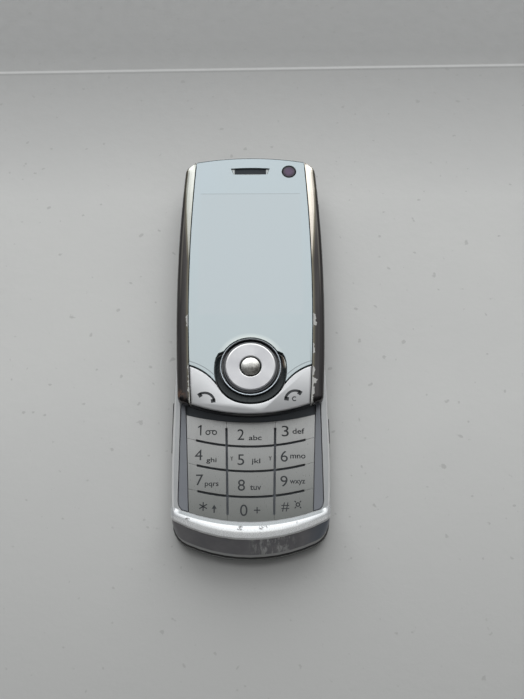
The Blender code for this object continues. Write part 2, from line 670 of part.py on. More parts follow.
def make_chin(bright, dark):
    """A dark sloped face under a bright cap that falls towards the keypad."""
    foot_z = FRONT_CASE_LOW + CHIN_FOOT
    face = loft("chin_face", [
        chin_ring(FRONT_CASE_LOW, 0.0, 0.0, CHIN_FOOT_INSET[0], BASE_LOW_CORNER),
        chin_ring(foot_z, CHIN_FOOT_IN, 0.0, CHIN_FOOT_INSET[1], BASE_LOW_CORNER),
        chin_ring(CHIN_BEND_Z, CHIN_BEND_IN, CHIN_BEND_SIDE, 0.0, CHIN_BEND_CORNER),
        chin_ring(CHIN_FACE_TOP, CHIN_FRONT, CHIN_FACE_SIDE),
    ])
    way = CHIN_DEPTH - CHIN_FRONT
    foot, foot_side = CHIN_CAP_FOOT_SHARES
    rings = [chin_ring(CHIN_FACE_TOP + GAP, CHIN_FRONT + way * foot, CHIN_CAP_SIDE * foot_side)]
    for fall, along, side in CHIN_CAP_SHARES:
        rings.append(chin_ring(
            CHIN_TOP - CHIN_CAP_FALL * fall, CHIN_FRONT + way * along, CHIN_CAP_SIDE * side,
        ))
    cap = loft("chin_cover", rings)
    for name, piece in (("face", face), ("cap", cap)):
        cut(piece, arc_band(f"cut_behind_{name}", RIDGE_RADIUS, RIDGE_Y, 2 * BASE_LENGTH,
                            FRONT_CASE_LOW - OVERRUN, GLASS_TOP + OVERRUN))
    cut(face, box("cut_antenna", (-ANTENNA_HALF - GAP, ANTENNA_LOW_Y - GAP, 0.0),
                  (ANTENNA_HALF + GAP, ANTENNA_HIGH_Y + GAP, ANTENNA_TOP + GAP)))
    finish(face, dark)
    finish(cap, bright)


def make_screws(steel):
    for i, (x, y) in enumerate(screw_places()):
        profile = [
            (SCREW_HEAD_RADIUS, BAY_Z + GAP / 2),
            (SCREW_HEAD_RADIUS, BAY_Z + GAP / 2 + SCREW_HEAD_HEIGHT),
            (SCREW_SHANK_RADIUS, BAY_Z + GAP / 2 + SCREW_HEAD_HEIGHT),
            (SCREW_SHANK_RADIUS, SCREW_TOP),
        ]
        finish(turned(f"case_screw_{i + 1}", (x, y), profile, HEAD_STEPS), steel)


# Lower half: what the bay holds

BOARD_SIDE_GAP = 0.4 * MM
BOARD_HALF = BAY_HALF - BOARD_SIDE_GAP
BOARD_RIDGE_GAP = 0.9 * MM          # board to the chin's inner wall
BOARD_HIGH_Y = BAY_HIGH_Y - GAP
MODULE_TOP = BOARD_LOW - GAP
SPEAKER_WIDTH = 15.5 * MM
SPEAKER_SIDE = 1.1 * MM             # bay's walls to the loudspeaker
SPEAKER_END = 3.2 * MM
SPEAKER_LOW = (-BAY_HALF + SPEAKER_SIDE, BAY_LOW_Y + SPEAKER_END)
SPEAKER_HIGH = (SPEAKER_LOW[0] + SPEAKER_WIDTH, DEEP_BAY_HIGH_Y - SPEAKER_END)
SPEAKER_SLOTS = 5
SPEAKER_SLOT_WIDTH = 1.0 * MM
SPEAKER_SLOT_LENGTH = 6.0 * MM
SPEAKER_PITCH = 2.2 * MM
MOTOR_SIDE = 8.1 * MM
MOTOR_PLACE = (BAY_HALF - MOTOR_SIDE, (BAY_LOW_Y + DEEP_BAY_HIGH_Y) / 2)
MOTOR_RADIUS = 4.0 * MM
SIM_WIDTH = 16.0 * MM
SIM_LENGTH = 12.5 * MM
SIM_END = 2.2 * MM
SIM_HIGH = (SIM_WIDTH / 2, BAY_HIGH_Y - SIM_END)
SIM_LOW = (-SIM_WIDTH / 2, SIM_HIGH[1] - SIM_LENGTH)
PART_CORNER = 0.8 * MM


def slab(name, low, high, z_low, z_high, colour, corner=PART_CORNER):
    loop = rounded_box_loop(low, high, corner)
    return finish(through(name, loop, z_low, z_high), colour)


def make_inner_parts(board_green, black, steel, gold):
    lower = [
        (BOARD_HALF * (2 * i / END_STEPS - 1),
         arc_y(RIDGE_Y + BOARD_RIDGE_GAP, RIDGE_RADIUS, BOARD_HALF * (2 * i / END_STEPS - 1)))
        for i in range(END_STEPS + 1)
    ]
    loop = lower + [(BOARD_HALF, BOARD_HIGH_Y), (-BOARD_HALF, BOARD_HIGH_Y)]
    finish(through("main_board", loop, BOARD_LOW, BOARD_TOP), board_green)
    slab("loudspeaker", SPEAKER_LOW, SPEAKER_HIGH, CHIN_FLOOR_TOP + GAP, MODULE_TOP, black)
    finish(disc("vibration_motor", MOTOR_PLACE, MOTOR_RADIUS, CHIN_FLOOR_TOP + GAP, MODULE_TOP,
                MIDDLE_ROUND_STEPS), steel)
    slab("sim_socket", SIM_LOW, SIM_HIGH, COVERED_FLOOR_TOP + GAP, MODULE_TOP, steel)
    slab("antenna", (-ANTENNA_HALF, ANTENNA_LOW_Y), (ANTENNA_HALF, ANTENNA_HIGH_Y),
         FRONT_CASE_LOW, ANTENNA_TOP, gold)
    connector = slab("system_connector", (-SOCKET_HALF, SOCKET_LOW_Y), (SOCKET_HALF, SOCKET_HIGH_Y),
                     SOCKET_LOW, SOCKET_TOP, black, SOCKET_WALL)
    half = SOCKET_HALF - SOCKET_WALL
    middle = (SOCKET_LOW + SOCKET_TOP) / 2
    cut(connector, box(
        "cut_connector_mouth", (-half, SOCKET_LOW_Y - OVERRUN, SOCKET_LOW + SOCKET_WALL),
        (half, SOCKET_LOW_Y + SOCKET_MOUTH, SOCKET_TOP - SOCKET_WALL),
    ))
    fuse(connector, box(
        "connector_tongue",
        (-half + SOCKET_WALL, SOCKET_LOW_Y + SOCKET_TONGUE_SETBACK, middle - SOCKET_TONGUE / 2),
        (half - SOCKET_WALL, SOCKET_HIGH_Y - SOCKET_WALL, middle + SOCKET_TONGUE / 2),
    ))


# Keypad

SHEET_RADIUS = 68.0 * MM
SHEET_LOW_RADIUS = RIDGE_RADIUS
SHEET_HIGH_RADIUS = 80.0 * MM
SHEET_RIDGE_GAP = 1.15 * MM
BAND_DEPTH = 1.1 * MM               # open slider's end to the upper edge of the key tops
SHEET_LOW_Y = RIDGE_Y + SHEET_RIDGE_GAP
SHEET_HIGH_Y = SLIDER_LOW_Y - BAND_DEPTH
STRIP_SIDE = 2.35 * MM              # lower half's side to a strip
STRIP_OUTER = BASE_WIDTH / 2 - STRIP_SIDE
STRIP_WIDTH_HIGH = 1.9 * MM
STRIP_WIDTH_LOW = 3.4 * MM
SHEET_HALF_HIGH = STRIP_OUTER - STRIP_WIDTH_HIGH
SHEET_HALF_LOW = STRIP_OUTER - STRIP_WIDTH_LOW
COLUMN_HIGH_SHARE = 0.383           # slots between columns, as shares of the sheet's half width
COLUMN_LOW_SHARE = 0.376
COLUMN_SLOT_DROP = 1.7 * MM
COLUMN_SLOT_RISE = 2.0 * MM
COLUMN_SLOT_HIGH_Y = SHEET_HIGH_Y - COLUMN_SLOT_DROP
COLUMN_SLOT_LOW_Y = SHEET_LOW_Y + COLUMN_SLOT_RISE
ROW_SHARES = (0.238, 0.495, 0.749)  # slots between rows, from the lowest
ROW_SLOT_MARGIN = 2.6 * MM          # a row slot's end to the sheet's side
SLOT_WIDTH = 0.75 * MM
KEY_EDGE_DROP = 0.06 * MM
KEY_EDGE_INSET = 0.03 * MM
STRIP_EDGE = 0.12 * MM
STRIP_CORNER_WIDTH = 1.7 * MM
STRIP_CORNER_LENGTH = 3.0 * MM
STRIP_SINK = 0.2 * MM
STRIP_TOP = RIM_TOP - STRIP_SINK
DOME_MARGIN = 1.9 * MM              # key sheet's edge to the dome sheet
DOME_HALF = SHEET_HALF_LOW - DOME_MARGIN
DOME_END_LOW = 1.2 * MM
DOME_END_HIGH = 0.9 * MM
DOME_LOW_Y = SHEET_LOW_Y + DOME_END_LOW
DOME_HIGH_Y = SHEET_HIGH_Y - DOME_END_HIGH
NIB_RADIUS = 0.9 * MM
DOME_RADIUS = 1.9 * MM
DOME_CROWN = 1.1 * MM
DOME_RISE = 0.12 * MM
SIDE_POINTS = 6
KEY_NAMES = (
    ("key_star", "key_0", "key_hash"),
    ("key_7", "key_8", "key_9"),
    ("key_4", "key_5", "key_6"),
    ("key_1", "key_2", "key_3"),
)
ROWS = len(KEY_NAMES)
COLUMNS = len(KEY_NAMES[0])


def column_x(column, y):
    """The line left of a column, or the sheet's right edge after the last."""
    share = (y - SHEET_LOW_Y) / (SHEET_HIGH_Y - SHEET_LOW_Y)
    edge = SHEET_HALF_LOW + (SHEET_HALF_HIGH - SHEET_HALF_LOW) * share
    slot = edge * (COLUMN_LOW_SHARE + (COLUMN_HIGH_SHARE - COLUMN_LOW_SHARE) * share)
    return (-edge, -slot, slot, edge)[column]


def row_y(row, x):
    """The arc under a row (from the lowest), or the sheet's upper edge after the last."""
    if row == 0:
        return arc_y(SHEET_LOW_Y, SHEET_LOW_RADIUS, x)
    if row == ROWS:
        return arc_y(SHEET_HIGH_Y, SHEET_HIGH_RADIUS, x)
    centre = SHEET_LOW_Y + (SHEET_HIGH_Y - SHEET_LOW_Y) * ROW_SHARES[row - 1]
    return arc_y(centre, SHEET_RADIUS, x)


def slot_end(row):
    return column_x(COLUMNS, row_y(row, 0.0)) - ROW_SLOT_MARGIN


def row_inset(row, x):
    if row in (0, ROWS):
        return 0.0
    return SLOT_WIDTH / 2 if abs(x) < slot_end(row) else HAIRLINE / 2


def column_inset(column, y):
    if column in (0, COLUMNS):
        return 0.0
    inside = COLUMN_SLOT_LOW_Y < y < COLUMN_SLOT_HIGH_Y
    return SLOT_WIDTH / 2 if inside else HAIRLINE / 2


def steps_between(start, end, breaks):
    """Places from start to end, doubled at each break so that a step stays sharp."""
    nudge = SHARP_STEP
    sign = 1 if end > start else -1
    places = [start + (end - start) * i / SIDE_POINTS for i in range(SIDE_POINTS + 1)]
    for place in breaks:
        if min(start, end) + SLOT_WIDTH < place < max(start, end) - SLOT_WIDTH:
            near = [p for p in places if abs(p - place) > 4 * nudge]
            places = near + [place - nudge, place + nudge]
    return sorted(places, reverse=sign < 0)


def key_corner(column, row, right, upper):
    """Where a key's side meets its top or bottom edge, with the slots taken off."""
    x = column_x(column + right, 0.0)
    y = row_y(row + upper, 0.0)
    for _ in range(PASSES):
        y = row_y(row + upper, x) + (-1 if upper else 1) * row_inset(row + upper, x)
        x = column_x(column + right, y) + (-1 if right else 1) * column_inset(column + right, y)
    return x, y


def key_loop(column, row):
    lower_left = key_corner(column, row, 0, 0)
    lower_right = key_corner(column, row, 1, 0)
    upper_right = key_corner(column, row, 1, 1)
    upper_left = key_corner(column, row, 0, 1)
    slots = (COLUMN_SLOT_LOW_Y, COLUMN_SLOT_HIGH_Y)
    loop = []
    ends = (-slot_end(row), slot_end(row))
    for x in steps_between(lower_left[0], lower_right[0], ends)[:-1]:
        loop.append((x, row_y(row, x) + row_inset(row, x)))
    for y in steps_between(lower_right[1], upper_right[1], slots)[:-1]:
        loop.append((column_x(column + 1, y) - column_inset(column + 1, y), y))
    ends = (-slot_end(row + 1), slot_end(row + 1))
    for x in steps_between(upper_right[0], upper_left[0], ends)[:-1]:
        loop.append((x, row_y(row + 1, x) - row_inset(row + 1, x)))
    for y in steps_between(upper_left[1], lower_left[1], slots)[:-1]:
        loop.append((column_x(column, y) + column_inset(column, y), y))
    return loop


def key_centre(column, row):
    x, y = 0.0, 0.0
    for _ in range(PASSES):
        y = (row_y(row, x) + row_y(row + 1, x)) / 2
        x = (column_x(column, y) + column_x(column + 1, y)) / 2
    return x, y


def key_centres():
    return [key_centre(column, row) for row in range(ROWS) for column in range(COLUMNS)]


def make_keys(metal):
    levels = ((KEY_LOW, 0.0), (KEY_TOP - KEY_EDGE_DROP, 0.0), (KEY_TOP, KEY_EDGE_INSET))
    for row, names in enumerate(KEY_NAMES):
        for column, name in enumerate(names):
            pivot = (*key_centre(column, row), KEY_TOP)
            finish(plate(name, key_loop(column, row), levels, pivot), metal)


def dome_loop(grow):
    half = DOME_HALF + grow
    lower = [
        (half * (2 * i / END_STEPS - 1),
         arc_y(DOME_LOW_Y - grow, SHEET_LOW_RADIUS, half * (2 * i / END_STEPS - 1)))
        for i in range(END_STEPS + 1)
    ]
    return lower + [(half, DOME_HIGH_Y + grow), (-half, DOME_HIGH_Y + grow)]


def mat_loop():
    """Under the key tops, and up to the recess's end beneath the slider."""
    low_x = column_x(COLUMNS, arc_y(SHEET_LOW_Y, SHEET_LOW_RADIUS, SHEET_HALF_LOW))
    lower = [
        (low_x * (2 * i / END_STEPS - 1),
         arc_y(SHEET_LOW_Y, SHEET_LOW_RADIUS, low_x * (2 * i / END_STEPS - 1)))
        for i in range(END_STEPS + 1)
    ]
    high_y = RECESS_HIGH_Y - SIDE_GAP
    high_x = column_x(COLUMNS, high_y)
    return lower + [(high_x, high_y), (-high_x, high_y)]


def make_keypad_base(rubber, film, grey):
    mat = through("keypad_mat", mat_loop(), MAT_TOP - MAT_SKIN, MAT_TOP)
    inside = MAT_TOP - MAT_SKIN / 2
    nibs = [circle(place, NIB_RADIUS, HOLE_STEPS) for place in key_centres()]
    fuse(mat, lofts("mat_nibs", [[at_height(loop, MAT_LOW), at_height(loop, inside)] for loop in nibs]))
    finish(mat, rubber)
    sheet = through("dome_sheet", dome_loop(0.0), DOME_SHEET_LOW, DOME_SHEET_TOP)
    inside = DOME_SHEET_TOP - DOME_SHEET_THICK / 2
    fuse(sheet, lofts("domes", [[
        at_height(circle(place, DOME_RADIUS, HOLE_STEPS), inside),
        at_height(circle(place, DOME_RADIUS, HOLE_STEPS), DOME_SHEET_TOP),
        at_height(circle(place, DOME_CROWN, HOLE_STEPS), DOME_SHEET_TOP + DOME_RISE),
    ] for place in key_centres()]))
    finish(sheet, film)
    for side, name in ((-1, "keypad_strip_left"), (1, "keypad_strip_right")):
        high_y = RECESS_HIGH_Y - SIDE_GAP
        low_y = arc_y(SHEET_LOW_Y, SHEET_LOW_RADIUS, SHEET_HALF_LOW)
        inner_low = column_x(COLUMNS, low_y) + SIDE_GAP
        inner_high = column_x(COLUMNS, high_y) + SIDE_GAP
        lower = cornered_arc(STRIP_OUTER, SHEET_LOW_Y, 0.0)[-CORNER_STEPS - 1:]
        loop = [(inner_low, arc_y(SHEET_LOW_Y, SHEET_LOW_RADIUS, inner_low))] + lower
        loop += [(STRIP_OUTER, high_y), (inner_high, high_y)]
        if side < 0:
            loop = [(-x, y) for x, y in reversed(loop)]
        levels = ((KEYPAD_FLOOR + GAP, 0.0), (STRIP_TOP - STRIP_EDGE, 0.0), (STRIP_TOP, STRIP_EDGE))
        finish(plate(name, loop, levels), grey)


# Side keys

SIDE_KEY_LOW = 4.6 * MM
SIDE_KEY_TOP = 5.8 * MM
SIDE_KEY_PROUD = 0.25 * MM
SIDE_KEY_DEPTH = 1.2 * MM
SIDE_KEY_OUTER = BASE_WIDTH / 2 + SIDE_KEY_PROUD
SIDE_KEY_INNER = SIDE_KEY_OUTER - SIDE_KEY_DEPTH
SIDE_KEY_CORNER = 0.45 * MM
ROCKER_DROP = 2.4 * MM              # open slider's lower end to the side keys' middles
CAMERA_KEY_DROP = 3.7 * MM
ROCKER_Y = SLIDER_LOW_Y - ROCKER_DROP
ROCKER_LENGTH = 16.4 * MM
CAMERA_KEY_Y = SLIDER_LOW_Y - CAMERA_KEY_DROP
CAMERA_KEY_LENGTH = 8.0 * MM
SIDE_KEY_EDGE = 0.15 * MM


def side_key(name, side, middle, length, pivot, colour):
    inner, outer = sorted((side * SIDE_KEY_INNER, side * SIDE_KEY_OUTER))
    loop = rounded_box_loop((inner, middle - length / 2), (outer, middle + length / 2), SIDE_KEY_CORNER)
    levels = (
        (SIDE_KEY_LOW, SIDE_KEY_EDGE), (SIDE_KEY_LOW + SIDE_KEY_EDGE, 0.0),
        (SIDE_KEY_TOP - SIDE_KEY_EDGE, 0.0), (SIDE_KEY_TOP, SIDE_KEY_EDGE),
    )
    return finish(plate(name, loop, levels, pivot), colour)


def make_side_keys(grey):
    middle = (SIDE_KEY_LOW + SIDE_KEY_TOP) / 2
    side_key("volume_rocker", -1, ROCKER_Y, ROCKER_LENGTH, (-SIDE_KEY_INNER, ROCKER_Y, middle), grey)
    side_key("camera_key", 1, CAMERA_KEY_Y, CAMERA_KEY_LENGTH,
             (SIDE_KEY_OUTER, CAMERA_KEY_Y, middle), grey)


# Upper half: cases, rails, glass and call plate

SLIDER_EDGE_Z = (0.3 * MM, 0.8 * MM)
SLIDER_EDGE_INSET = (0.9 * MM, 0.3 * MM)
SLIDER_WALL = 1.2 * MM
CARRIAGE_THICK = 0.4 * MM
CARRIAGE_LOW = GUIDE_TOP + GAP
CARRIAGE_TOP = CARRIAGE_LOW + CARRIAGE_THICK
HOOK_WEB = 0.5 * MM
HOOK_REACH = 2.8 * MM
CARRIAGE_HALF = GUIDE_HALF + GAP + HOOK_WEB
CARRIAGE_END = 6.3 * MM
CARRIAGE_LOW_Y = SLIDER_LOW_Y + CARRIAGE_END
CARRIAGE_HIGH_Y = HOOK_HIGH_Y
CARRIAGE_CORNER = 0.6 * MM
RIVET_RADIUS = 0.9 * MM
RIVET_ROOT = 0.6 * MM
RIVET_SIDE = 6.8 * MM
RIVET_RISE = 7.0 * MM
RIVET_DROP = 7.9 * MM
RIVET_X = CARRIAGE_HALF - RIVET_SIDE
RIVET_YS = (CARRIAGE_LOW_Y + RIVET_RISE, CARRIAGE_HIGH_Y - RIVET_DROP)
BEAD_HALF = 1.0 * MM                # stamped beads that stiffen the carriage plate
BEAD_RISE = 0.15 * MM
BEAD_X = 5.5 * MM
BEAD_END = 12.0 * MM
NAV_RISE = 15.25 * MM               # slider's lower end to the navigation key's centre
NAV_Y = SLIDER_LOW_Y + NAV_RISE
WINDOW_SIDE = 1.35 * MM             # glass's side to the display's opening
WINDOW_HALF = GLASS_WIDTH / 2 - WINDOW_SIDE
WINDOW_RISE = 15.25 * MM            # navigation key's centre to the display's opening
WINDOW_DROP = 12.05 * MM
WINDOW_LOW = (-WINDOW_HALF, NAV_Y + WINDOW_RISE)
WINDOW_HIGH = (WINDOW_HALF, SLIDER_HIGH_Y - WINDOW_DROP)
SLIDER_BOARD_SIDE = 1.0 * MM
SLIDER_BOARD_RISE = 4.8 * MM
SLIDER_BOARD_DROP = 6.8 * MM
CAMERA_WINDOW_DROP = 11.85 * MM
SLIDER_BOARD_LOW_Y = SLIDER_LOW_Y + SLIDER_BOARD_RISE
SLIDER_BOARD_HIGH_Y = WINDOW_HIGH[1] - SLIDER_BOARD_DROP
CAMERA_WINDOW_PLACE = (0.0, SLIDER_HIGH_Y - CAMERA_WINDOW_DROP)
CAMERA_WINDOW_RADIUS = 4.4 * MM
CAMERA_WINDOW_THICK = 0.5 * MM
CAMERA_RADIUS = 3.4 * MM
RAIL_DROP = 2.0 * MM                # glass's top to where the rail meets the slider's side
RAIL_SHARES = (                     # of the drop, of the width left from the glass's side
    (1.0, 1.0), (0.75, 0.96), (0.585, 0.88), (0.45, 0.75), (0.31, 0.55), (0.16, 0.3), (0.0, 0.02),
)
RAIL_STEP = 0.9 * MM                # least distance of a rail's points from its ends
GLASS_EDGE = 0.15 * MM

NAV_RIM_OUTER = 9.5 * MM
NAV_RIM_INNER = 9.05 * MM
NAV_RIM_RISE = 0.1 * MM
NAV_RIM_TOP = GLASS_TOP + NAV_RIM_RISE
BEZEL_DROP = 0.8 * MM               # how far the black bezel's middle lies below the key's centre
BEZEL_RADIUS = 11.15 * MM
BEZEL_POWER = 2.2                   # 2 would make its outline a circle, more makes it fuller
BEZEL_INNER = NAV_RIM_OUTER + SIDE_GAP
BEZEL_TIP = 0.15 * MM               # how thin the bezel's tips get
BEZEL_TIP_ANGLE = math.radians(66)  # where its tips end, from +Y
BEZEL_FULL_ANGLE = math.radians(84)
BEZEL_LEAD = math.radians(8)        # how much sooner the glass turns away from the key
BEZEL_STEPS = 28
WAVE_TURN_SHARE = 0.87              # of the bezel's radius, where the wave leaves its outline
WAVE_SLOPE = math.atan(
    WAVE_TURN_SHARE ** (BEZEL_POWER - 1) * (1 - WAVE_TURN_SHARE ** BEZEL_POWER) ** (1 / BEZEL_POWER - 1)
)
WAVE_RADIUS = 16.0 * MM
WAVE_GAP = 0.18 * MM
CUSP_DROP = 5.05 * MM
CUSP_X = 11.0 * MM
PLATE_SIDE_GAP = 0.1 * MM
PLATE_EDGE = 0.15 * MM
PLATE_CROWN = 0.4 * MM
PLATE_CROWN_DROP = 0.1 * MM
NAV_RING_RADIUS = 7.85 * MM
NAV_RING_LIFT = 0.1 * MM            # over the rim's seat when pressed flat
NAV_RING_RISE = 0.3 * MM            # ring's top over the glass
NAV_EDGE = 0.4 * MM
NAV_SKIRT_RADIUS = 8.6 * MM         # sloped skirt round the ring's flat top
NAV_SKIRT_DROP = 0.75 * MM
NAV_HOLE_RADIUS = 3.35 * MM
GIMBAL_RADIUS = 7.2 * MM
OK_RADIUS = 2.95 * MM
OK_NECK_STEP = 0.3 * MM
OK_FLANGE_DROP = 0.4 * MM
OK_SHOULDER = 0.15 * MM
OK_CROWN = 0.75 * MM
OK_DOME_SHARES = (0.96, 0.8, 0.6, 0.36, 0.12)

GRILLE_HALF = 6.35 * MM
GRILLE_HALF_LOW = 5.6 * MM
GRILLE_RISE = 1.0 * MM
GRILLE_BOW = 0.25 * MM
EARPIECE_DROP = 5.45 * MM
EARPIECE_Y = SLIDER_HIGH_Y - EARPIECE_DROP
EARPIECE_HALF = (6.0 * MM, 2.3 * MM)
LENS_EDGE_GAP = 0.1 * MM
LENS_DROP = 5.6 * MM
LENS_PLACE = ((GRILLE_HALF + GLASS_WIDTH / 2 + LENS_EDGE_GAP) / 2, SLIDER_HIGH_Y - LENS_DROP)
LENS_RADIUS = 2.3 * MM
FRONT_CAMERA_RADIUS = 2.5 * MM


def grille_loop():
    """The earpiece slot: bowed edges, the upper one longer, so that its ends are pointed."""
    def edge(half, sign):
        return [
            (half * share, EARPIECE_Y + sign * (GRILLE_RISE + GRILLE_BOW * (1 - share * share)))
            for share in (2 * i / END_STEPS - 1 for i in range(END_STEPS + 1))
        ]
    return edge(GRILLE_HALF_LOW, -1) + list(reversed(edge(GRILLE_HALF, 1)))


def make_slider_rear_case(black):
    levels = [(SLIDER_LOW, SLIDER_EDGE_INSET[0])]
    levels += [(SLIDER_LOW + SLIDER_EDGE_Z[0], SLIDER_EDGE_INSET[1])]
    levels += [(SLIDER_LOW + SLIDER_EDGE_Z[1], 0.0), (SLIDER_CASE_TOP, 0.0)]
    levels += [(SLIDER_CASE_TOP, SLIDER_WALL), (SLIDER_FLOOR_TOP, SLIDER_WALL)]
    case = loft("slider_rear_case", outline_rings(SLIDER, levels))
    under = SLIDER_LOW - OVERRUN
    cut(
        case,
        box("cut_carriage_place", (-CARRIAGE_HALF - GAP, CARRIAGE_LOW_Y - GAP, under),
            (CARRIAGE_HALF + GAP, CARRIAGE_HIGH_Y + GAP, CARRIAGE_TOP + GAP)),
        disc("cut_camera_window", CAMERA_WINDOW_PLACE, CAMERA_WINDOW_RADIUS + GAP, under,
             SLIDER_LOW + CAMERA_WINDOW_THICK + GAP),
        disc("cut_camera", CAMERA_WINDOW_PLACE, CAMERA_RADIUS + GAP, under - OVERRUN,
             SLIDER_FLOOR_TOP + GAP, MIDDLE_ROUND_STEPS),
    )
    for i, (x, y) in enumerate(rivet_places()):
        fuse(case, disc(f"rivet_{i}", (x, y), RIVET_RADIUS, CARRIAGE_LOW,
                        CARRIAGE_TOP + RIVET_ROOT, HOLE_STEPS))
    return finish(case, black)


def rivet_places():
    return [(side * RIVET_X, y) for y in RIVET_YS for side in (-1, 1)]


def make_carriage(steel):
    loop = rounded_box_loop(
        (-CARRIAGE_HALF, CARRIAGE_LOW_Y), (CARRIAGE_HALF, CARRIAGE_HIGH_Y), CARRIAGE_CORNER,
    )
    carriage = through("carriage_plate", loop, CARRIAGE_LOW, CARRIAGE_TOP)
    for side in (-1, 1):
        outer = side * CARRIAGE_HALF
        web = outer - side * HOOK_WEB
        tip = outer - side * HOOK_REACH
        inside = CARRIAGE_LOW + CARRIAGE_THICK / 2
        profile = [
            (tip, HOOK_LOW), (outer, HOOK_LOW), (outer, inside), (web, inside),
            (web, HOOK_TOP), (tip, HOOK_TOP),
        ]
        rings = [[(x, y, z) for x, z in profile] for y in (HOOK_HIGH_Y - HOOK_LENGTH, HOOK_HIGH_Y)]
        fuse(carriage, loft(f"hook_{side}", rings))
    beads = [
        rounded_box_loop((x - BEAD_HALF, CARRIAGE_LOW_Y + BEAD_END),
                         (x + BEAD_HALF, CARRIAGE_HIGH_Y - BEAD_END), BEAD_HALF)
        for x in (-BEAD_X, BEAD_X)
    ]
    fuse(carriage, lofts("carriage_beads", [
        [at_height(loop, CARRIAGE_LOW + CARRIAGE_THICK / 2), at_height(loop, CARRIAGE_TOP + BEAD_RISE)]
        for loop in beads
    ]))
    for i, (x, y) in enumerate(rivet_places()):
        cut(carriage, disc(f"cut_rivet_{i}", (x, y), RIVET_RADIUS + GAP, CARRIAGE_LOW - OVERRUN,
                           CARRIAGE_TOP + OVERRUN, HEAD_STEPS))
    return finish(carriage, steel)


def make_slider_front_case(black):
    case = loft("slider_front_case", outline_rings(DECK, [(DECK_LOW, 0.0), (DECK_TOP, 0.0)]))
    low = DECK_LOW - OVERRUN
    high = DECK_TOP + OVERRUN
    window = rounded_box_loop(WINDOW_LOW, WINDOW_HIGH, PART_CORNER)
    reach = (EARPIECE_HALF[0] + GAP, EARPIECE_HALF[1] + GAP)
    cut(
        case,
        through("cut_window", window, low, high),
        disc("cut_gimbal", (0.0, NAV_Y), GIMBAL_RADIUS + GAP, low, high),
        box("cut_earpiece", (-reach[0], EARPIECE_Y - reach[1], low),
            (reach[0], EARPIECE_Y + reach[1], high)),
        disc("cut_front_camera", LENS_PLACE, FRONT_CAMERA_RADIUS + GAP, low, high,
             MIDDLE_ROUND_STEPS),
    )
    return finish(case, black)


def rail_side(y):
    """Where the right rail begins, beside the glass."""
    return half_width(DECK, y) + TRIM_GAP


def rail_loop():
    """The right rail: the half's outline outside the glass, from its lower to its upper end."""
    loop = []
    points = outline(SLIDER)
    count = len(points)

    def beyond(point):
        return point[0] - rail_side(point[1])

    for i, point in enumerate(points):
        following = points[(i + 1) % count]
        here, there = beyond(point), beyond(following)
        if here > 0:
            loop.append(point)
        if point[0] > 0 and (here > 0) != (there > 0):
            share = here / (here - there)
            loop.append(tuple(a + (b - a) * share for a, b in zip(point, following)))
    end = loop[-1]
    inner = [p for p in loop if min(math.dist(p, loop[0]), math.dist(p, end)) > RAIL_STEP]
    loop = [loop[0]] + inner + [end]
    for i in range(1, 2 * SIDE_STEPS):
        y = end[1] + (loop[0][1] - end[1]) * i / (2 * SIDE_STEPS)
        loop.append((rail_side(y), y))
    return loop


def make_rails(chrome):
    """Each rail falls away in a curve from the glass to the slider's side."""
    loop = rail_loop()
    levels = [(DECK_LOW, 1.0)] + [(GLASS_TOP - RAIL_DROP * drop, width) for drop, width in RAIL_SHARES]
    for side, name in ((-1, "trim_left"), (1, "trim_right")):
        rings = [
            [(side * (rail_side(y) + (x - rail_side(y)) * width), y, z) for x, y in loop]
            for z, width in levels
        ]
        finish(loft(name, rings), chrome)


def bezel_share(share):
    """How far the bezel's outline reaches on one axis where it reaches a share on the other."""
    return (1 - share ** BEZEL_POWER) ** (1 / BEZEL_POWER)


def wave_y(x):
    """The edge between the glass and the call plate: round the bezel, then an arc to each side."""
    turn_x = BEZEL_RADIUS * WAVE_TURN_SHARE
    round_x = min(abs(x), turn_x)
    round_y = NAV_Y - BEZEL_DROP - BEZEL_RADIUS * bezel_share(round_x / BEZEL_RADIUS)
    if abs(x) <= turn_x:
        return round_y
    centre_x = turn_x + WAVE_RADIUS * math.sin(WAVE_SLOPE)
    centre_y = round_y - WAVE_RADIUS * math.cos(WAVE_SLOPE)
    return centre_y + math.sqrt(WAVE_RADIUS ** 2 - (abs(x) - centre_x) ** 2)


def bezel_reach(angle, radius):
    """From the navigation key's centre to the bezel's full outline; angles count from +Y to +X."""
    near, far = 0.0, 2 * radius
    for _ in range(4 * PASSES):
        reach = (near + far) / 2
        x_share = abs(reach * math.sin(angle)) / radius
        y_share = abs(reach * math.cos(angle) + BEZEL_DROP) / radius
        if x_share ** BEZEL_POWER + y_share ** BEZEL_POWER < 1:
            near = reach
        else:
            far = reach
    return near


def bay_point(angle, radius=BEZEL_RADIUS, least=BEZEL_INNER, lead=BEZEL_LEAD):
    """A point of the bay round the navigation key, thinned towards the bezel's tips."""
    turned_back = min(angle, 2 * math.pi - angle)
    share = (turned_back + lead - BEZEL_TIP_ANGLE) / (BEZEL_FULL_ANGLE - BEZEL_TIP_ANGLE)
    share = min(max(share, 0.0), 1.0)
    reach = least + (bezel_reach(angle, radius) - least) * math.sqrt(share * (2 - share))
    return reach * math.sin(angle), NAV_Y + reach * math.cos(angle)


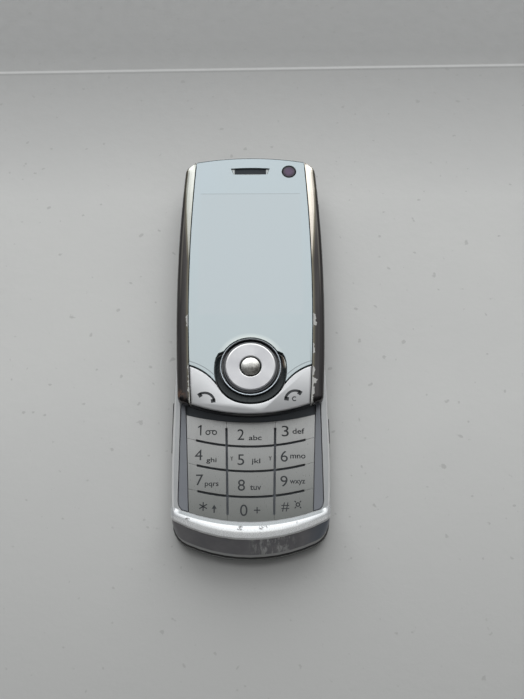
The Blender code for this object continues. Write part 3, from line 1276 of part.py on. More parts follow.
def glass_loop():
    cusp_x = BEZEL_RADIUS * bezel_share((CUSP_DROP - BEZEL_DROP) / BEZEL_RADIUS)
    last = math.atan2(cusp_x, -CUSP_DROP)
    side_y = wave_y(GLASS_WIDTH / 2 - WAVE_GAP) + WAVE_GAP
    side_x = half_width(DECK, side_y)
    right = []
    for i in range(BEZEL_STEPS // 2 + 1):
        right.append(bay_point(last * i / (BEZEL_STEPS // 2)))
    for i in range(SIDE_STEPS + 1):
        x = CUSP_X + (side_x - CUSP_X) * i / SIDE_STEPS
        right.append((x, wave_y(x) + WAVE_GAP))
    for x, y in outline(DECK):
        if x >= 0 and y > side_y + OVERRUN:
            right.append((x, y))
    left = [(-x, y) for x, y in reversed(right) if x > 0]
    return right + left


def make_glass(glass):
    levels = ((GLASS_LOW, 0.0), (GLASS_TOP - GLASS_EDGE, 0.0), (GLASS_TOP, GLASS_EDGE))
    front = plate("front_glass", glass_loop(), levels)
    low = GLASS_LOW - OVERRUN
    high = GLASS_TOP + OVERRUN
    slot = offset_points(grille_loop(), -SIDE_GAP)
    cut(
        front,
        through("cut_slot", slot, low, high),
        disc("cut_lens", LENS_PLACE, LENS_RADIUS + SIDE_GAP, low, high, MIDDLE_ROUND_STEPS),
    )
    return finish(front, glass)


def make_call_plate(silver):
    low_x = half_width(DECK, SLIDER_LOW_Y + SLIDER_LOW_CORNER) - PLATE_SIDE_GAP
    lower = []
    for i in range(END_STEPS + 1):
        x = low_x * (2 * i / END_STEPS - 1)
        lower.append((x, arc_y(SLIDER_LOW_Y + PLATE_SIDE_GAP, SLIDER_LOW_RADIUS, x)))
    side_y = wave_y(half_width(DECK, wave_y(GLASS_WIDTH / 2))) - 2 * WAVE_GAP
    side_x = half_width(DECK, side_y) - PLATE_SIDE_GAP
    upper = []
    steps = 4 * SIDE_STEPS
    for i in range(steps + 1):
        x = side_x * (1 - 2 * i / steps)
        upper.append((x, wave_y(x) - WAVE_GAP))
    middle_y = (side_y + lower[0][1]) / 2
    middle_x = half_width(DECK, middle_y) - PLATE_SIDE_GAP
    loop = lower + [(middle_x, middle_y)] + upper + [(-middle_x, middle_y)]
    levels = (
        (GLASS_LOW, 0.0), (GLASS_TOP - PLATE_CROWN_DROP - PLATE_EDGE, 0.0),
        (GLASS_TOP - PLATE_CROWN_DROP, PLATE_EDGE), (GLASS_TOP, PLATE_CROWN),
    )
    return finish(plate("call_plate", loop, levels, (0.0, SLIDER_LOW_Y, GLASS_LOW)), silver)


def make_nav_bezel(black):
    """A black crescent, highest at its outer edge, that dips towards the key."""
    outer_radius = BEZEL_RADIUS - SIDE_GAP
    least = BEZEL_INNER + BEZEL_TIP
    rings = []
    for i in range(BEZEL_STEPS + 1):
        angle = BEZEL_TIP_ANGLE + 2 * (math.pi - BEZEL_TIP_ANGLE) * i / BEZEL_STEPS
        x, y = bay_point(angle, outer_radius, least, 0.0)
        reach = math.hypot(x, y - NAV_Y)
        profile = [
            (BEZEL_INNER, GLASS_LOW), (reach, GLASS_LOW), (reach, GLASS_TOP - GLASS_EDGE),
            (reach - GLASS_EDGE, GLASS_TOP - GLASS_EDGE / 2),
            ((reach + BEZEL_INNER) / 2, GLASS_TOP - GLASS_THICK / 2),
            (BEZEL_INNER, GLASS_TOP - GLASS_THICK / 2 - GLASS_EDGE),
        ]
        rings.append([
            (r * math.sin(angle), NAV_Y + r * math.cos(angle), z) for r, z in profile
        ])
    return finish(loft("nav_bezel", rings), black)


def make_nav(silver, chrome, steel):
    centre = (0.0, NAV_Y)
    finish(turned("nav_rim", centre, [
        (NAV_RIM_OUTER, GLASS_LOW), (NAV_RIM_OUTER, GLASS_TOP),
        (NAV_RIM_OUTER - GLASS_EDGE, NAV_RIM_TOP), (NAV_RIM_INNER + GLASS_EDGE, NAV_RIM_TOP),
        (NAV_RIM_INNER, GLASS_TOP), (NAV_RIM_INNER, GLASS_LOW),
    ], closed=True), chrome)
    ring_low = GLASS_LOW + NAV_RING_LIFT
    ring_top = GLASS_TOP + NAV_RING_RISE
    pivot = (0.0, NAV_Y, ring_low)
    finish(turned("nav_ring", centre, [
        (NAV_SKIRT_RADIUS, ring_low), (NAV_SKIRT_RADIUS, ring_top - NAV_SKIRT_DROP),
        (NAV_RING_RADIUS, ring_top - NAV_EDGE),
        (NAV_RING_RADIUS - NAV_EDGE / 3, ring_top - NAV_EDGE / 3), (NAV_RING_RADIUS - NAV_EDGE, ring_top),
        (NAV_HOLE_RADIUS + NAV_EDGE / 2, ring_top), (NAV_HOLE_RADIUS, ring_top - NAV_EDGE / 2),
        (NAV_HOLE_RADIUS, ring_low),
    ], pivot=pivot, closed=True), silver)
    gimbal_low = SLIDER_BOARD_TOP + GAP
    gimbal_top = ring_low - GAP
    finish(turned("nav_gimbal", centre, [
        (GIMBAL_RADIUS, gimbal_low), (GIMBAL_RADIUS, gimbal_top),
        (NAV_HOLE_RADIUS, gimbal_top), (NAV_HOLE_RADIUS, gimbal_low),
    ], pivot=pivot, closed=True), steel)
    neck = OK_RADIUS - OK_NECK_STEP
    flange = GLASS_TOP - OK_FLANGE_DROP
    shoulder = GLASS_TOP + OK_SHOULDER
    dome = [
        (OK_RADIUS * share, shoulder + OK_CROWN * (1 - share * share))
        for share in OK_DOME_SHARES
    ]
    finish(turned("ok_button", centre, [
        (neck, gimbal_low), (neck, flange), (OK_RADIUS, flange), (OK_RADIUS, shoulder), *dome,
    ], MIDDLE_ROUND_STEPS, pivot=pivot), chrome)


def make_upper_parts(black, lens, board_green, steel, panel):
    board_half = WINDOW_HALF - SLIDER_BOARD_SIDE
    slab("slider_board", (-board_half, SLIDER_BOARD_LOW_Y), (board_half, SLIDER_BOARD_HIGH_Y),
         SLIDER_BOARD_LOW, SLIDER_BOARD_TOP, board_green)
    slab("display_module", (WINDOW_LOW[0] + GAP, WINDOW_LOW[1] + GAP),
         (WINDOW_HIGH[0] - GAP, WINDOW_HIGH[1] - GAP), MODULE_LOW, DECK_TOP, panel)
    slab("earpiece", (-EARPIECE_HALF[0], EARPIECE_Y - EARPIECE_HALF[1]),
         (EARPIECE_HALF[0], EARPIECE_Y + EARPIECE_HALF[1]), MODULE_LOW, DECK_TOP, black)
    finish(through("earpiece_grille", grille_loop(), GLASS_LOW, GLASS_TOP - GLASS_THICK / 2), black)
    finish(disc("front_camera", LENS_PLACE, FRONT_CAMERA_RADIUS, MODULE_LOW, DECK_TOP,
                MIDDLE_ROUND_STEPS), black)
    finish(turned("front_camera_lens", LENS_PLACE, [
        (LENS_RADIUS, GLASS_LOW), (LENS_RADIUS, GLASS_TOP - GLASS_EDGE),
        (LENS_RADIUS - GLASS_EDGE, GLASS_TOP), (LENS_RADIUS / 2, GLASS_TOP),
    ], MIDDLE_ROUND_STEPS), lens)
    finish(disc("main_camera_window", CAMERA_WINDOW_PLACE, CAMERA_WINDOW_RADIUS, SLIDER_LOW,
                SLIDER_LOW + CAMERA_WINDOW_THICK), lens)
    finish(disc("main_camera", CAMERA_WINDOW_PLACE, CAMERA_RADIUS,
                SLIDER_LOW + CAMERA_WINDOW_THICK + GAP, SLIDER_BOARD_TOP,
                MIDDLE_ROUND_STEPS), black)


def main():
    clear_scene()
    silver = material("silver_paint", (0.55, 0.56, 0.58), 0.35, 0.6)
    bright = material("bright_silver", (0.72, 0.73, 0.75), 0.28, 0.7)
    dark = material("dark_grey", (0.08, 0.08, 0.09), 0.4)
    black = material("gloss_black", (0.015, 0.016, 0.02), 0.15)
    grey = material("satin_grey", (0.18, 0.19, 0.21), 0.45)
    chrome = material("dark_chrome", (0.2, 0.19, 0.19), 0.2, 1.0)
    steel = material("steel", (0.5, 0.5, 0.5), 0.35, 1.0)
    keys = material("key_metal", (0.4, 0.4, 0.41), 0.4, 0.8)
    rubber = material("rubber", (0.04, 0.045, 0.055), 0.7)
    film = material("film", (0.5, 0.48, 0.4), 0.5)
    green = material("board", (0.03, 0.16, 0.08), 0.5)
    gold = material("antenna_gold", (0.6, 0.45, 0.15), 0.4, 1.0)
    label = material("battery_label", (0.3, 0.3, 0.32), 0.5)
    glass = material("front_glass", (0.45, 0.52, 0.54), 0.05)
    panel = material("display_panel", (0.05, 0.06, 0.07), 0.3)
    lens = material("lens", (0.03, 0.02, 0.06), 0.05)
    make_rear_case(grey)
    make_battery_cover(grey)
    make_battery(label)
    make_front_case(silver)
    make_guide_plate(steel)
    make_chin(bright, dark)
    make_screws(steel)
    make_inner_parts(green, black, steel, gold)
    make_keys(keys)
    make_keypad_base(rubber, film, grey)
    make_side_keys(grey)
    make_slider_rear_case(black)
    make_carriage(steel)
    make_slider_front_case(black)
    make_rails(chrome)
    make_glass(glass)
    make_call_plate(silver)
    make_nav_bezel(black)
    make_nav(silver, chrome, steel)
    make_upper_parts(black, lens, green, steel, panel)


main()
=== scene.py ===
import json
import math

import bmesh
import bpy
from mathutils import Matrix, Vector


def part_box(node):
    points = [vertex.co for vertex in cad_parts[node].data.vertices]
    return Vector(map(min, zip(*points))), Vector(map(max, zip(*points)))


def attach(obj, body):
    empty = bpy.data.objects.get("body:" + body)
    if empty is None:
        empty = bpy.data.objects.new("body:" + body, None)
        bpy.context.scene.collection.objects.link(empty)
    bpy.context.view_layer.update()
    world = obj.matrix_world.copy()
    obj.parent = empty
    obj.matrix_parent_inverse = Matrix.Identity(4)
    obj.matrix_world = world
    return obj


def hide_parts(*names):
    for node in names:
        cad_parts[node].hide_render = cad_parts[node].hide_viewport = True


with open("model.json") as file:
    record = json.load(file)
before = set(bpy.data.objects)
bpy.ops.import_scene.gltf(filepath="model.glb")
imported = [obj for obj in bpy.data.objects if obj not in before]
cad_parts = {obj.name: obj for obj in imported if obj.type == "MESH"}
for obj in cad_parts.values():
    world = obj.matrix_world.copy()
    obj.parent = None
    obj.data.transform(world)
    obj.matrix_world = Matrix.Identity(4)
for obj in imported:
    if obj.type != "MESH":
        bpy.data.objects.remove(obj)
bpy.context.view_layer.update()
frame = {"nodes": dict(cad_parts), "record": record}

# The looks of an open slider phone. Metres, in the frame's own axes:
# +Y to the earpiece end, +X to the right seen from the front, +Z up.

MM = 0.001
INK_THICK = 0.02 * MM
HAIR = 0.01 * MM


# Boxes of the frame that sizes and places come from

def low(node):
    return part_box(node)[0]


def high(node):
    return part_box(node)[1]


KEY_TOP = high("key_5").z
PLATE_TOP = high("call_plate").z
NAV_CENTRE = (low("nav_ring") + high("nav_ring")) / 2
LENS_CENTRE = (low("front_camera_lens") + high("front_camera_lens")) / 2


# Node materials

# A noise mostly lies between these two values
NOISE_LOW = 0.3
NOISE_HIGH = 0.7


class Shade:
    """A Principled material and short ways to add nodes to it."""

    def __init__(self, name):
        self.material = bpy.data.materials.new(name)
        self.material.use_nodes = True
        self.tree = self.material.node_tree
        self.shader = self.tree.nodes["Principled BSDF"]
        self.coordinates = self.add("ShaderNodeTexCoord").outputs["Object"]
        split = self.add("ShaderNodeSeparateXYZ")
        self.link(self.coordinates, split.inputs["Vector"])
        self.x, self.y, self.z = split.outputs

    def add(self, kind, **settings):
        node = self.tree.nodes.new(kind)
        for key, value in settings.items():
            setattr(node, key, value)
        return node

    def link(self, source, target):
        self.tree.links.new(source, target)

    def set(self, socket, value):
        self.shader.inputs[socket].default_value = value

    def stretched(self, scale):
        mapping = self.add("ShaderNodeMapping")
        self.link(self.coordinates, mapping.inputs["Vector"])
        mapping.inputs["Scale"].default_value = scale
        return mapping.outputs["Vector"]

    def noise(self, scale, detail=4.0, roughness=0.6, vector=None):
        node = self.add("ShaderNodeTexNoise")
        self.link(vector or self.coordinates, node.inputs["Vector"])
        node.inputs["Scale"].default_value = scale
        node.inputs["Detail"].default_value = detail
        node.inputs["Roughness"].default_value = roughness
        return node.outputs["Fac"]

    def spread(self, value, out_low, out_high, in_low=NOISE_LOW, in_high=NOISE_HIGH):
        """A value moved from one range to another, and held at its ends."""
        node = self.add("ShaderNodeMapRange")
        self.link(value, node.inputs["Value"])
        node.inputs["From Min"].default_value = in_low
        node.inputs["From Max"].default_value = in_high
        node.inputs["To Min"].default_value = out_low
        node.inputs["To Max"].default_value = out_high
        return node.outputs["Result"]

    def rise(self, value, start, end):
        """0 up to the start and 1 from the end on."""
        return self.spread(value, 0.0, 1.0, start, end)

    def fall(self, value, start, end):
        """1 up to the start and 0 from the end on."""
        return self.spread(value, 1.0, 0.0, start, end)

    def within(self, value, start, end, soft):
        """1 between two values, 0 outside, changing over a soft width."""
        after = self.rise(value, start - soft / 2, start + soft / 2)
        before = self.fall(value, end - soft / 2, end + soft / 2)
        return self.times(after, before)

    def math(self, operation, first, second=0.0):
        node = self.add("ShaderNodeMath", operation=operation)
        for socket, value in zip(node.inputs, (first, second)):
            if isinstance(value, (int, float)):
                socket.default_value = value
            else:
                self.link(value, socket)
        return node.outputs["Value"]

    def plus(self, first, second):
        return self.math("ADD", first, second)

    def minus(self, first, second):
        return self.math("SUBTRACT", first, second)

    def times(self, *values):
        result = values[0]
        for value in values[1:]:
            result = self.math("MULTIPLY", result, value)
        return result

    def either(self, *masks):
        result = masks[0]
        for mask in masks[1:]:
            result = self.math("MAXIMUM", result, mask)
        return result

    def sides(self):
        """Distance from the middle plane, the same left and right."""
        return self.math("ABSOLUTE", self.x)

    def reach(self, centre, x=None):
        """Distance in the plane from a point."""
        along = self.minus(x or self.x, centre[0])
        up = self.minus(self.y, centre[1])
        return self.math("SQRT", self.plus(self.times(along, along), self.times(up, up)))

    def bowed(self, bow):
        """How far a bowed line has left its middle, from its bow as y over x squared."""
        return self.times(self.x, self.x, bow)

    def normal(self):
        """The surface's direction as x, y and z."""
        split = self.add("ShaderNodeSeparateXYZ")
        geometry = self.add("ShaderNodeNewGeometry")
        self.link(geometry.outputs["Normal"], split.inputs["Vector"])
        return split.outputs

    def blend(self, factor, first, second):
        node = self.add("ShaderNodeMix", data_type="RGBA")
        self.link(factor, node.inputs["Factor"])
        for socket, value in (("A", first), ("B", second)):
            target = [s for s in node.inputs if s.name == socket and s.type == "RGBA"][0]
            if isinstance(value, tuple):
                target.default_value = (*value, 1.0)
            else:
                self.link(value, target)
        return [s for s in node.outputs if s.type == "RGBA"][0]

    def cloudy(self, noise, first, second):
        """Two colours mixed by a noise."""
        return self.blend(self.spread(noise, 0.0, 1.0), first, second)

    def tint(self, base, mask, colour, share=1.0):
        """The base with a share of a colour laid over it inside a mask."""
        factor = mask if share == 1.0 else self.times(mask, share)
        return self.blend(factor, base, colour)

    def bump(self, height, strength, distance):
        node = self.add("ShaderNodeBump")
        self.link(height, node.inputs["Height"])
        node.inputs["Strength"].default_value = strength
        node.inputs["Distance"].default_value = distance
        self.link(node.outputs["Normal"], self.shader.inputs["Normal"])

    def grained(self, scale, detail, roughness, stretch, gloss, bump, depth):
        """A fine noise laid over the surface as bump: the noise, and the gloss it gives."""
        fine = self.noise(scale, detail, roughness, self.stretched(stretch) if stretch else None)
        self.bump(fine, bump, depth)
        return fine, self.spread(fine, *gloss)

    def colour(self, value):
        self.link(value, self.shader.inputs["Base Color"])

    def rough(self, value):
        self.link(value, self.shader.inputs["Roughness"])

    def metal(self, value):
        self.link(value, self.shader.inputs["Metallic"])

    def worn_edges(self):
        """White on convex edges, broken up by noise."""
        point = self.add("ShaderNodeNewGeometry").outputs["Pointiness"]
        edge = self.rise(point, *WORN_POINTINESS)
        broken = self.rise(self.noise(WORN_SCALE), *WORN_BREAKS)
        return self.times(edge, broken)


WORN_POINTINESS = (0.55, 0.62)
WORN_SCALE = 600.0
WORN_BREAKS = (0.45, 0.6)


def scaled(colour, factor):
    return tuple(min(1.0, channel * factor) for channel in colour)


# The grain of each material: scale, detail, roughness and stretch of its noise, the lowest
# and highest roughness that it gives, and the strength and depth of its bump
GRAIN_DEPTH = 0.02 * MM
GRAINS = {
    "front_pane": (35.0, 5.0, 0.6, (1.0, 0.35, 1.0), (0.05, 0.09), 0.02, GRAIN_DEPTH),
    "lens_glass": (1400.0, 4.0, 0.6, None, (0.1, 0.2), 0.02, GRAIN_DEPTH / 2),
    "dark_chrome": (700.0, 5.0, 0.6, (1.0, 0.08, 1.0), (0.08, 0.14), 0.05, GRAIN_DEPTH / 2),
    "earpiece_net": (5200.0, 3.0, 0.6, None, (0.45, 0.6), 0.3, 0.03 * MM),
    "direction_disc": (5200.0, 4.0, 0.6, None, (0.28, 0.38), 0.1, GRAIN_DEPTH),
    "middle_dome": (1500.0, 5.0, 0.7, None, (0.22, 0.34), 0.12, 0.05 * MM),
    "ring_chrome": (2600.0, 4.0, 0.6, None, (0.2, 0.3), 0.04, GRAIN_DEPTH),
    "black_crescent": (1500.0, 5.0, 0.6, None, (0.22, 0.32), 0.05, GRAIN_DEPTH),
    "key_metal": (7000.0, 6.0, 0.7, (1.0, 0.12, 1.0), (0.26, 0.36), 0.12, GRAIN_DEPTH),
    "silver_case": (5000.0, 6.0, 0.7, None, (0.26, 0.4), 0.1, GRAIN_DEPTH),
    "bright_chin": (9000.0, 3.0, 0.5, None, (0.24, 0.3), 0.03, GRAIN_DEPTH / 2),
    "dark_chin": (2600.0, 5.0, 0.6, None, (0.3, 0.4), 0.1, GRAIN_DEPTH),
    "grey_plastic": (6000.0, 6.0, 0.7, None, (0.42, 0.6), 0.25, GRAIN_DEPTH),
    "ink": (4000.0, 4.0, 0.6, None, (0.45, 0.55), 0.1, 0.005 * MM),
    "floor_paint": (260.0, 6.0, 0.7, None, (0.42, 0.6), 0.25, 0.3 * MM),
}

# What most surfaces share: their clouds as scale and detail, their grain's detail and
# roughness, how much it shows in the colour, and how far it moves the gloss
CLOUDS = (90.0, 3.0)
GRAIN = (6.0, 0.7)
GRAIN_SHARE = 0.25
GLOSS_SHARES = (0.8, 1.25)
LACQUER_ROUGHNESS = 0.08


def finish_surface(name, colour, variation, roughness, grain, bump, metallic=0.0, coat=0.0,
                   wear=None, stretch=None):
    """A moulded, painted or metal surface: cloudy colour, uneven gloss and a fine grain."""
    shade = Shade(name)
    gloss = [roughness * share for share in GLOSS_SHARES]
    fine, gloss = shade.grained(grain, *GRAIN, stretch, gloss, bump, GRAIN_DEPTH)
    mixed = shade.cloudy(shade.noise(*CLOUDS), scaled(colour, 1 - variation),
                         scaled(colour, 1 + variation))
    mixed = shade.blend(shade.spread(fine, 0.0, GRAIN_SHARE), mixed,
                        scaled(colour, 1 - 2 * variation))
    if wear:
        mixed = shade.tint(mixed, shade.worn_edges(), wear)
    shade.colour(mixed)
    shade.rough(gloss)
    shade.set("Metallic", metallic)
    if coat:
        shade.set("Coat Weight", coat)
        shade.set("Coat Roughness", LACQUER_ROUGHNESS)
    return shade.material


INK_VARIATION = 0.15


def ink_material(name, colour):
    shade = Shade(name)
    fine, gloss = shade.grained(*GRAINS["ink"])
    shade.colour(shade.cloudy(fine, scaled(colour, 1 - INK_VARIATION),
                              scaled(colour, 1 + INK_VARIATION)))
    shade.rough(gloss)
    return shade.material


# The front pane's colours and gloss
PANE = (0.455, 0.51, 0.53)
PANE_REFLECTION_LOW = (0.42, 0.475, 0.495)
PANE_REFLECTION_HIGH = (0.465, 0.535, 0.58)
PANE_EDGE = (0.10, 0.14, 0.15)
PANE_DISPLAY = (0.455, 0.50, 0.525)
PANE_PAINTED_HALO = (0.62, 0.67, 0.66)
PANE_METAL = 0.75
PANE_COAT = 0.5
PANE_COAT_ROUGHNESS = 0.03
SMEAR_SHARE = 0.5
SMEAR_COLOUR = scaled(PANE, 1.02)

# What shows in the pane: the display and a line above it, a painted reflection as a pale
# halo round the direction key, and the thin lines beside the call plate's wave. A strength
# is how much of the colour shows, and a softness how wide its edge is.
DISPLAY_MARGIN = Vector((1.45 * MM, 2.2 * MM, 0.0))
DISPLAY_LOW = low("display_module") + DISPLAY_MARGIN
DISPLAY_HIGH = high("display_module") - DISPLAY_MARGIN
DISPLAY_SOFT = 0.25 * MM
DISPLAY_STRENGTH = 0.55
TOP_LINE = (DISPLAY_HIGH.y, DISPLAY_HIGH.y + 0.35 * MM)
TOP_LINE_SOFT = 0.1 * MM
TOP_LINE_STRENGTH = 0.4
TOP_LINE_COLOUR = scaled(PANE, 0.6)
HALO = (8.8 * MM, 10.6 * MM)
HALO_SOFT = 1.6 * MM
WAVE_CENTRE = (23.59 * MM, -8.89 * MM)
WAVE_LINE = (17.2 * MM, 17.5 * MM)
WAVE_SOFT = 0.15 * MM
WAVE_STRENGTH = 0.65
WAVE_COLOUR = scaled(PANE, 0.35)
SIDE_LINE = (18.5 * MM, 18.8 * MM)
SIDE_LINE_SOFT = 0.2 * MM
SIDE_LINE_FADE = (NAV_CENTRE.y + 3.0 * MM, NAV_CENTRE.y + 10.0 * MM)
SIDE_LINE_STRENGTH = 0.5
SIDE_LINE_COLOUR = scaled(PANE, 0.4)
TOP_EDGE = (high("front_glass").y - 0.42 * MM, high("front_glass").y - 0.28 * MM)
FACING_UP = (0.85, 0.95)


def glass_bow():
    """How fast the pane's top edge falls away from the middle, as y over x squared."""
    points = [vertex.co for vertex in frame["nodes"]["front_glass"].data.vertices]
    corner = max(points, key=lambda point: point.x + point.y)
    return (high("front_glass").y - corner.y) / corner.x ** 2


def glass_material():
    """A half-mirror pane, pale and a little green: faint smears, a hidden display, painted
    reflections.
    """
    shade = Shade("front_pane")
    smear, gloss = shade.grained(*GRAINS["front_pane"])
    # Painted reflection: the pane is coloured lighter towards its top
    upwards = shade.rise(shade.y, NAV_CENTRE.y, high("front_glass").y)
    base = shade.blend(upwards, PANE_REFLECTION_LOW, PANE_REFLECTION_HIGH)
    base = shade.blend(shade.spread(smear, 0.0, SMEAR_SHARE), base, SMEAR_COLOUR)
    across = shade.within(shade.x, DISPLAY_LOW.x, DISPLAY_HIGH.x, DISPLAY_SOFT)
    along = shade.within(shade.y, DISPLAY_LOW.y, DISPLAY_HIGH.y, DISPLAY_SOFT)
    base = shade.tint(base, shade.times(across, along), PANE_DISPLAY, DISPLAY_STRENGTH)
    line = shade.times(across, shade.within(shade.y, *TOP_LINE, TOP_LINE_SOFT))
    base = shade.tint(base, line, TOP_LINE_COLOUR, TOP_LINE_STRENGTH)
    # Painted reflection: a pale halo on the pane above the direction key
    halo = shade.within(shade.reach(NAV_CENTRE), *HALO, HALO_SOFT)
    above = shade.rise(shade.y, NAV_CENTRE.y, NAV_CENTRE.y + HALO[0])
    base = shade.tint(base, shade.times(halo, above), PANE_PAINTED_HALO)
    side = shade.sides()
    wave = shade.within(shade.reach(WAVE_CENTRE, side), *WAVE_LINE, WAVE_SOFT)
    beside = shade.rise(side, NAV_CENTRE.x + HALO[1], NAV_CENTRE.x + HALO[1] + MM)
    base = shade.tint(base, shade.times(wave, beside), WAVE_COLOUR, WAVE_STRENGTH)
    upright = shade.times(shade.within(shade.x, *SIDE_LINE, SIDE_LINE_SOFT),
                          shade.fall(shade.y, *SIDE_LINE_FADE))
    base = shade.tint(base, upright, SIDE_LINE_COLOUR, SIDE_LINE_STRENGTH)
    height = shade.plus(shade.y, shade.bowed(glass_bow()))
    flat = shade.times(shade.rise(shade.normal()["Z"], *FACING_UP), shade.fall(height, *TOP_EDGE))
    shade.colour(shade.blend(flat, PANE_EDGE, base))
    shade.rough(gloss)
    shade.metal(shade.times(flat, PANE_METAL))
    shade.set("Coat Weight", PANE_COAT)
    shade.set("Coat Roughness", PANE_COAT_ROUGHNESS)
    return shade.material


LENS_TINT = (0.12, 0.07, 0.15)
LENS_OUTER = (0.035, 0.03, 0.05)
LENS_DUST = (0.20, 0.14, 0.20)
LENS_DUST_SHARE = 0.6
LENS_RIM = (0.012, 0.012, 0.016)
LENS_FADE = (0.9 * MM, 1.7 * MM)
LENS_RIM_START = (1.8 * MM, 2.0 * MM)


def lens_material():
    """Dark glass with a violet coating that deepens towards the middle."""
    shade = Shade("lens_glass")
    fine, gloss = shade.grained(*GRAINS["lens_glass"])
    radius = shade.reach(LENS_CENTRE)
    tint = shade.blend(shade.rise(radius, *LENS_FADE), LENS_TINT, LENS_OUTER)
    tint = shade.tint(tint, shade.spread(fine, 0.0, LENS_DUST_SHARE), LENS_DUST)
    tint = shade.tint(tint, shade.rise(radius, *LENS_RIM_START), LENS_RIM)
    shade.colour(tint)
    shade.rough(gloss)
    shade.set("Specular IOR Level", 0.3)
    shade.set("Coat Weight", 0.2)
    return shade.material


# Chips along the rails' inner edges: side, where they start and end along Y, how wide
CHIPS = (
    (-1, 19.7, 23.5, 0.8), (-1, -6.0, 7.1, 0.7), (1, 19.7, 23.8, 1.3), (1, 10.5, 13.5, 1.2),
    (1, -6.0, 2.5, 1.8), (1, 2.0, 6.1, 0.9),
)
CHIP_SOFT = 0.8 * MM
CHIP_EDGE = 0.12 * MM
CHIP_COLOUR = (0.55, 0.545, 0.53)
CHIP_NOISE = (620.0, 4.0, 0.6)
CHIP_RAGGED = (0.1, 1.0, 0.36, 0.62)
BARE_ROUGHNESS = 0.4

# The glass's side edge, which the rails follow: half width, and how far it draws in
WIDEST_Y = 36.775 * MM
GLASS_HALF = 20.05 * MM
GLASS_TAPER = 2.0 * MM
TAPER_RUN = 46.075 * MM
RAIL_WIDTH = 3.65 * MM

# A painted reflection at the rails' top ends: a pale wedge, an olive rim and a paler sheen streak
RAIL_DARK = ((0.068, 0.063, 0.063), (0.10, 0.095, 0.096))
RAIL_PAINTED_REFLECTION = ((0.46, 0.47, 0.44), (0.60, 0.55, 0.49))
RAIL_REFLECTION_RIM = (0.20, 0.185, 0.14)
RAIL_PAINTED_SHEEN = (0.36, 0.34, 0.30)
LIT_SHARE = 0.76
LIT_RUN = (43 * MM, 71 * MM)
REFLECTION_RIM_EDGE = (-0.22, -0.02)
REFLECTION_EDGE = (-0.03, 0.06)
SHEEN_SHARES = (0.60, 0.72)
SHEEN_RUN = (34 * MM, 66 * MM)
SHEEN_SOFT = (0.1, 14 * MM)
SHEEN_STRENGTH = 0.5

# The brown worn corner
BROWN_PLACE = (-22.4 * MM, -3.6 * MM)
BROWN_REACH = (0.8 * MM, 3.2 * MM)
BROWN = (0.13, 0.062, 0.032)
BROWN_NOISE = (420.0, 5.0, 0.7)
BROWN_BREAKS = (0.42, 0.55)


def rail_chips(shade, depth):
    """The chips' mask, ragged, from the depth in from the glass."""
    ragged = shade.spread(shade.noise(*CHIP_NOISE), *CHIP_RAGGED)
    chips = []
    for side, start, end, wide in CHIPS:
        here = shade.times(shade.within(shade.y, start * MM, end * MM, CHIP_SOFT),
                           shade.rise(shade.times(shade.x, side), 0.0, MM))
        limit = shade.times(here, ragged, wide * MM)
        chips.append(shade.rise(shade.minus(limit, depth), 0.0, CHIP_EDGE))
    return shade.either(*chips)


def rail_material():
    """Dark chrome: a painted reflection at the top ends, chips along the glass, a brown worn
    corner.
    """
    shade = Shade("dark_chrome")
    streak, gloss = shade.grained(*GRAINS["dark_chrome"])
    dark = shade.cloudy(streak, *RAIL_DARK)
    # Painted reflection: a pale wedge at the top ends, tinted apart left and right, with an olive
    # rim
    light = shade.blend(shade.rise(shade.x, -MM, MM), *RAIL_PAINTED_REFLECTION)
    run = shade.math("DIVIDE", shade.minus(shade.y, WIDEST_Y), TAPER_RUN)
    edge = shade.minus(GLASS_HALF, shade.times(run, run, GLASS_TAPER))
    depth = shade.minus(shade.sides(), edge)
    share = shade.math("DIVIDE", depth, RAIL_WIDTH)
    beyond = shade.minus(shade.spread(shade.y, 0.0, LIT_SHARE, *LIT_RUN), share)
    base = shade.tint(dark, shade.rise(beyond, *REFLECTION_RIM_EDGE), RAIL_REFLECTION_RIM)
    base = shade.blend(shade.rise(beyond, *REFLECTION_EDGE), base, light)
    # Painted sheen: a paler streak beside the painted reflection
    painted_sheen = shade.times(shade.within(share, *SHEEN_SHARES, SHEEN_SOFT[0]),
                       shade.within(shade.y, *SHEEN_RUN, SHEEN_SOFT[1]))
    base = shade.tint(base, painted_sheen, RAIL_PAINTED_SHEEN, SHEEN_STRENGTH)
    chips = rail_chips(shade, depth)
    worn = shade.times(shade.fall(shade.reach(BROWN_PLACE), *BROWN_REACH),
                       shade.rise(shade.noise(*BROWN_NOISE), *BROWN_BREAKS))
    base = shade.tint(base, worn, BROWN)
    shade.colour(shade.tint(base, chips, CHIP_COLOUR))
    bare = shade.either(worn, chips)
    shade.metal(shade.minus(1.0, bare))
    shade.rough(shade.plus(gloss, shade.times(bare, BARE_ROUGHNESS)))
    return shade.material


NET_COLOURS = ((0.012, 0.016, 0.022), (0.035, 0.042, 0.055))
NET_PAINTED_GLINT = (0.85, 0.9, 0.9)
NET_ENDS = (5.25 * MM, 5.55 * MM)
NET_LIP = (low("earpiece_grille").y, low("earpiece_grille").y + 0.28 * MM)
NET_LIP_STRENGTH = 0.8


def grille_material():
    """A dark slot with a painted glint at its pointed ends and a painted highlight on its lip."""
    shade = Shade("earpiece_net")
    weave, gloss = shade.grained(*GRAINS["earpiece_net"])
    # Painted glint on the pointed ends, and a painted highlight along the lip
    ends = shade.rise(shade.sides(), *NET_ENDS)
    lip = shade.times(shade.within(shade.y, *NET_LIP, 0.1 * MM), NET_LIP_STRENGTH)
    shade.colour(shade.tint(shade.cloudy(weave, *NET_COLOURS), shade.either(ends, lip), NET_PAINTED_GLINT))
    shade.rough(gloss)
    shade.set("Specular IOR Level", 0.25)
    return shade.material


